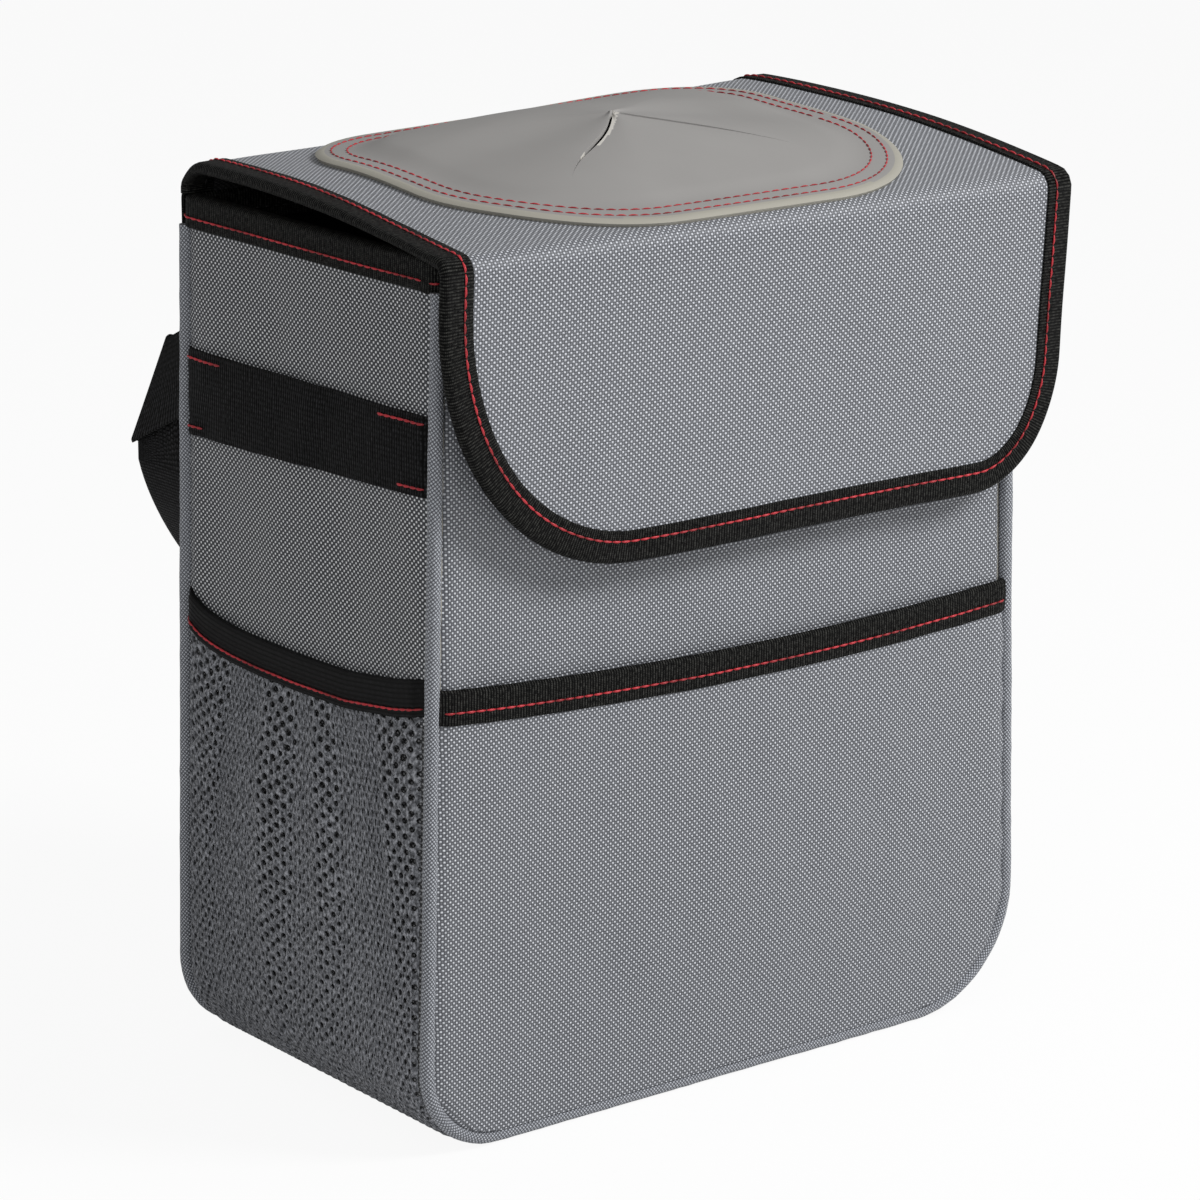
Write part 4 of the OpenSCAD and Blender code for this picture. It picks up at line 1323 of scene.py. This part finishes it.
def petal_lift(x, y):
    """How far the pad rises off the lid at a point measured from its middle."""
    wide, deep = PAD_HALF_X - 12, PAD_HALF_Y - 12
    share = np.maximum(np.abs(x) / wide, np.abs(y) / deep)
    soft = (np.abs(x / wide) ** 6 + np.abs(y / deep) ** 6) ** (1 / 6)
    radial = np.hypot(x, y) / pad_reach(np.arctan2(y, x), 12)
    share = np.maximum(0.5 * share + 0.5 * soft, radial)
    rise = np.clip(1 - share, 0, 1)
    return PAD_RISE * rise ** (1 - 0.3 * fade(y, 0, 25)) * fade(rise, -0.05, 0.15)


petals = [sheet("petal", 48, 60, petal_place(index)) for index in range(4)]
pad = join("inlet_pad", *petals)
weld(pad, 3e-5)
if max(pad.data.polygons, key=lambda f: f.area).normal[2] < 0:
    flip(pad)
apply_modifier(pad, "SOLIDIFY", thickness=PAD_T * 0.8 * MM, offset=-1.0)
dress(pad, vinyl, "soft_pad", "lid", "inlet_pad", smooth=50)

# The pad's outer rim is painted paler, and so is the cut edge that shows where the front slit is
# open: painted highlights where the rounded rim and the slit's raised lip catch the light.
RIM_HIGHLIGHT, LIP_HIGHLIGHT_L, LIP_HIGHLIGHT_W = 3.4, 44, 1.6
pad.data.materials.append(pad_rim_highlight)
pad.data.materials.append(slit_lip_highlight)
front_slit = np.array([-PAD_HALF_X + PAD_FLANGE, -PAD_HALF_Y + PAD_FLANGE])
front_slit = front_slit / np.linalg.norm(front_slit)
for face in pad.data.polygons:
    x, y = face.center[0] / MM, face.center[1] / MM - PAD_Y
    reach = math.hypot(x, y)
    edge = pad_reach(math.atan2(y, x), 0)
    x = x - PAD_CROSS * (1 - reach / edge) ** 2
    along = x * front_slit[0] + y * front_slit[1]
    wave = SLIT_BEND * math.sin(2 * PI * along / SLIT_L)
    aside = x * front_slit[1] - y * front_slit[0] + wave
    if edge - reach < RIM_HIGHLIGHT:
        face.material_index = 1
    elif 0 < along < LIP_HIGHLIGHT_L and -LIP_HIGHLIGHT_W * (1 - (along / LIP_HIGHLIGHT_L) ** 2) < aside < 0.4:
        face.material_index = 2


def pad_row(inset):
    """A closed row of points on the pad, inset from its edge."""
    turn = np.linspace(0, 2 * PI, 400)
    reach = pad_reach(turn, inset)
    x, y = reach * np.cos(turn), PAD_Y + reach * np.sin(turn)
    z = lid_top(x, y) + 0.1 + PAD_T + petal_lift(x, y - PAD_Y)
    return stack(x, y, z), np.tile([0.0, 0.0, 1.0], (400, 1))


stitches("pad_stitches", [pad_row(5.5), pad_row(11.0)], "lid", pitch=4.2, dash=3.4, thick=0.7)


# Tape that hinges the lid: sewn on the back of the rim and over the lid's back bend

def hinge_profile():
    """(y, z) of the tape, from its lower edge on the rim to its end on the lid's back bend."""
    lower = np.stack([np.full(6, HALF_D + 1.3), np.linspace(293.6, 304.8, 6)], axis=1)
    t = np.linspace(1.2, 13, 12)
    y, z = lid_run.at(t, -TAPE_T - 0.45)
    return np.vstack([lower, np.stack([y, z], axis=1)])


hinge_line = hinge_profile()
hinge_along = lengths_of(hinge_line)


def hinge_place(u, v):
    x = (1 - 2 * u) * 123.2
    y, z = (np.interp(v * hinge_along[-1], hinge_along, hinge_line[:, i]) for i in (0, 1))
    return lid_settle(stack(x, y, z)), np.stack([v * hinge_along[-1], x], axis=1)


hinge = sheet("hinge_tape_cloth", 100, 30, hinge_place)
thicken(hinge, 0.7)
dress(hinge, binding_tape, "black_webbing", None, "hinge_tape")
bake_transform(hinge)


# Hook tape under the skirt and loop tape on the front panel

def tape_pad(name, place, wall, material, body, node):
    """A piece of hook or loop tape with softened edges."""
    piece = sheet(name, 60, 16, place)
    face_outwards(piece)
    thicken(piece, wall, offset=0)
    apply_modifier(piece, "BEVEL", width=0.0004, segments=2)
    return dress(piece, material, "hook_and_loop", body, node)


def loop_place(u, v):
    x, z = (2 * u - 1) * 40, 209.6 + 20 * v
    return stack(x, -HALF_D - 0.9 - front_wave(x, z), z), np.stack([x, z], axis=1)


def hook_place(u, v):
    x = (2 * u - 1) * 40
    t = lid_run.end - 12.4 - 20 * v
    return lid_point(x, t, LID_T + 0.8), np.stack([x, t], axis=1)


tape_pad("loop_fastener", loop_place, 1.6, loop_pile, "bin", "loop_tape")
tape_pad("hook_fastener", hook_place, 1.5, hook_pile, "lid", "hook_tape")


# Hidden stiffeners keep their solids

for name in ("front_board", "back_board", "left_board", "right_board", "base_board"):
    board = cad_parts[name]
    board.data.materials.clear()
    board.data.materials.append(grey_board)


# Floor and light

def add_floor():
    """A pale floor that looks white to the camera and keeps the bin's shadow."""
    bpy.ops.object.select_all(action="DESELECT")
    bpy.ops.mesh.primitive_plane_add(size=8, location=(0, 0, -0.0004))
    floor = bpy.context.object
    floor.name = "floor"
    material = bpy.data.materials.new("pale_floor")
    material.use_nodes = True
    tree = material.node_tree
    shader = tree.nodes["Principled BSDF"]
    shader.inputs["Base Color"].default_value = linear("#f0f0f0")
    shader.inputs["Roughness"].default_value = 0.9
    shader.inputs["Specular IOR Level"].default_value = 0.1
    bright = add(tree, "ShaderNodeEmission", None, {"Color": (1, 1, 1, 1), "Strength": 1.0})
    path = add(tree, "ShaderNodeLightPath")
    share = calc(tree, "MULTIPLY", path.outputs["Is Camera Ray"], 0.92)
    mixed = add(tree, "ShaderNodeMixShader", None,
                {0: share, 1: shader.outputs[0], 2: bright.outputs[0]})
    tree.links.new(mixed.outputs[0], tree.nodes["Material Output"].inputs["Surface"])
    floor.data.materials.append(material)


def add_world():
    """Soft light from all sides, and plain white where the camera sees it."""
    world = bpy.data.worlds.new("studio")
    bpy.context.scene.world = world
    world.use_nodes = True
    tree = world.node_tree
    soft = tree.nodes["Background"]
    soft.inputs["Color"].default_value = (1, 1, 1, 1)
    soft.inputs["Strength"].default_value = 0.36
    white = add(tree, "ShaderNodeBackground", None, {"Color": (1, 1, 1, 1), "Strength": 1.0})
    path = add(tree, "ShaderNodeLightPath")
    seen = calc(tree, "MAXIMUM", path.outputs["Is Camera Ray"],
                path.outputs["Is Transmission Ray"])
    mixed = add(tree, "ShaderNodeMixShader", None,
                {0: seen, 1: soft.outputs[0], 2: white.outputs[0]})
    tree.links.new(mixed.outputs[0], tree.nodes["World Output"].inputs["Surface"])


add_camera()
add_floor()
add_world()
add_lamp("key", "AREA", 27.5, (0.92, -1.08, 1.3), (0, 0, 0.17), size=0.55)
add_lamp("side_fill", "AREA", 6.0, (-1.5, -1.2, 0.9), (0, 0, 0.17), size=0.6)
bpy.context.scene.view_settings.view_transform = "Standard"
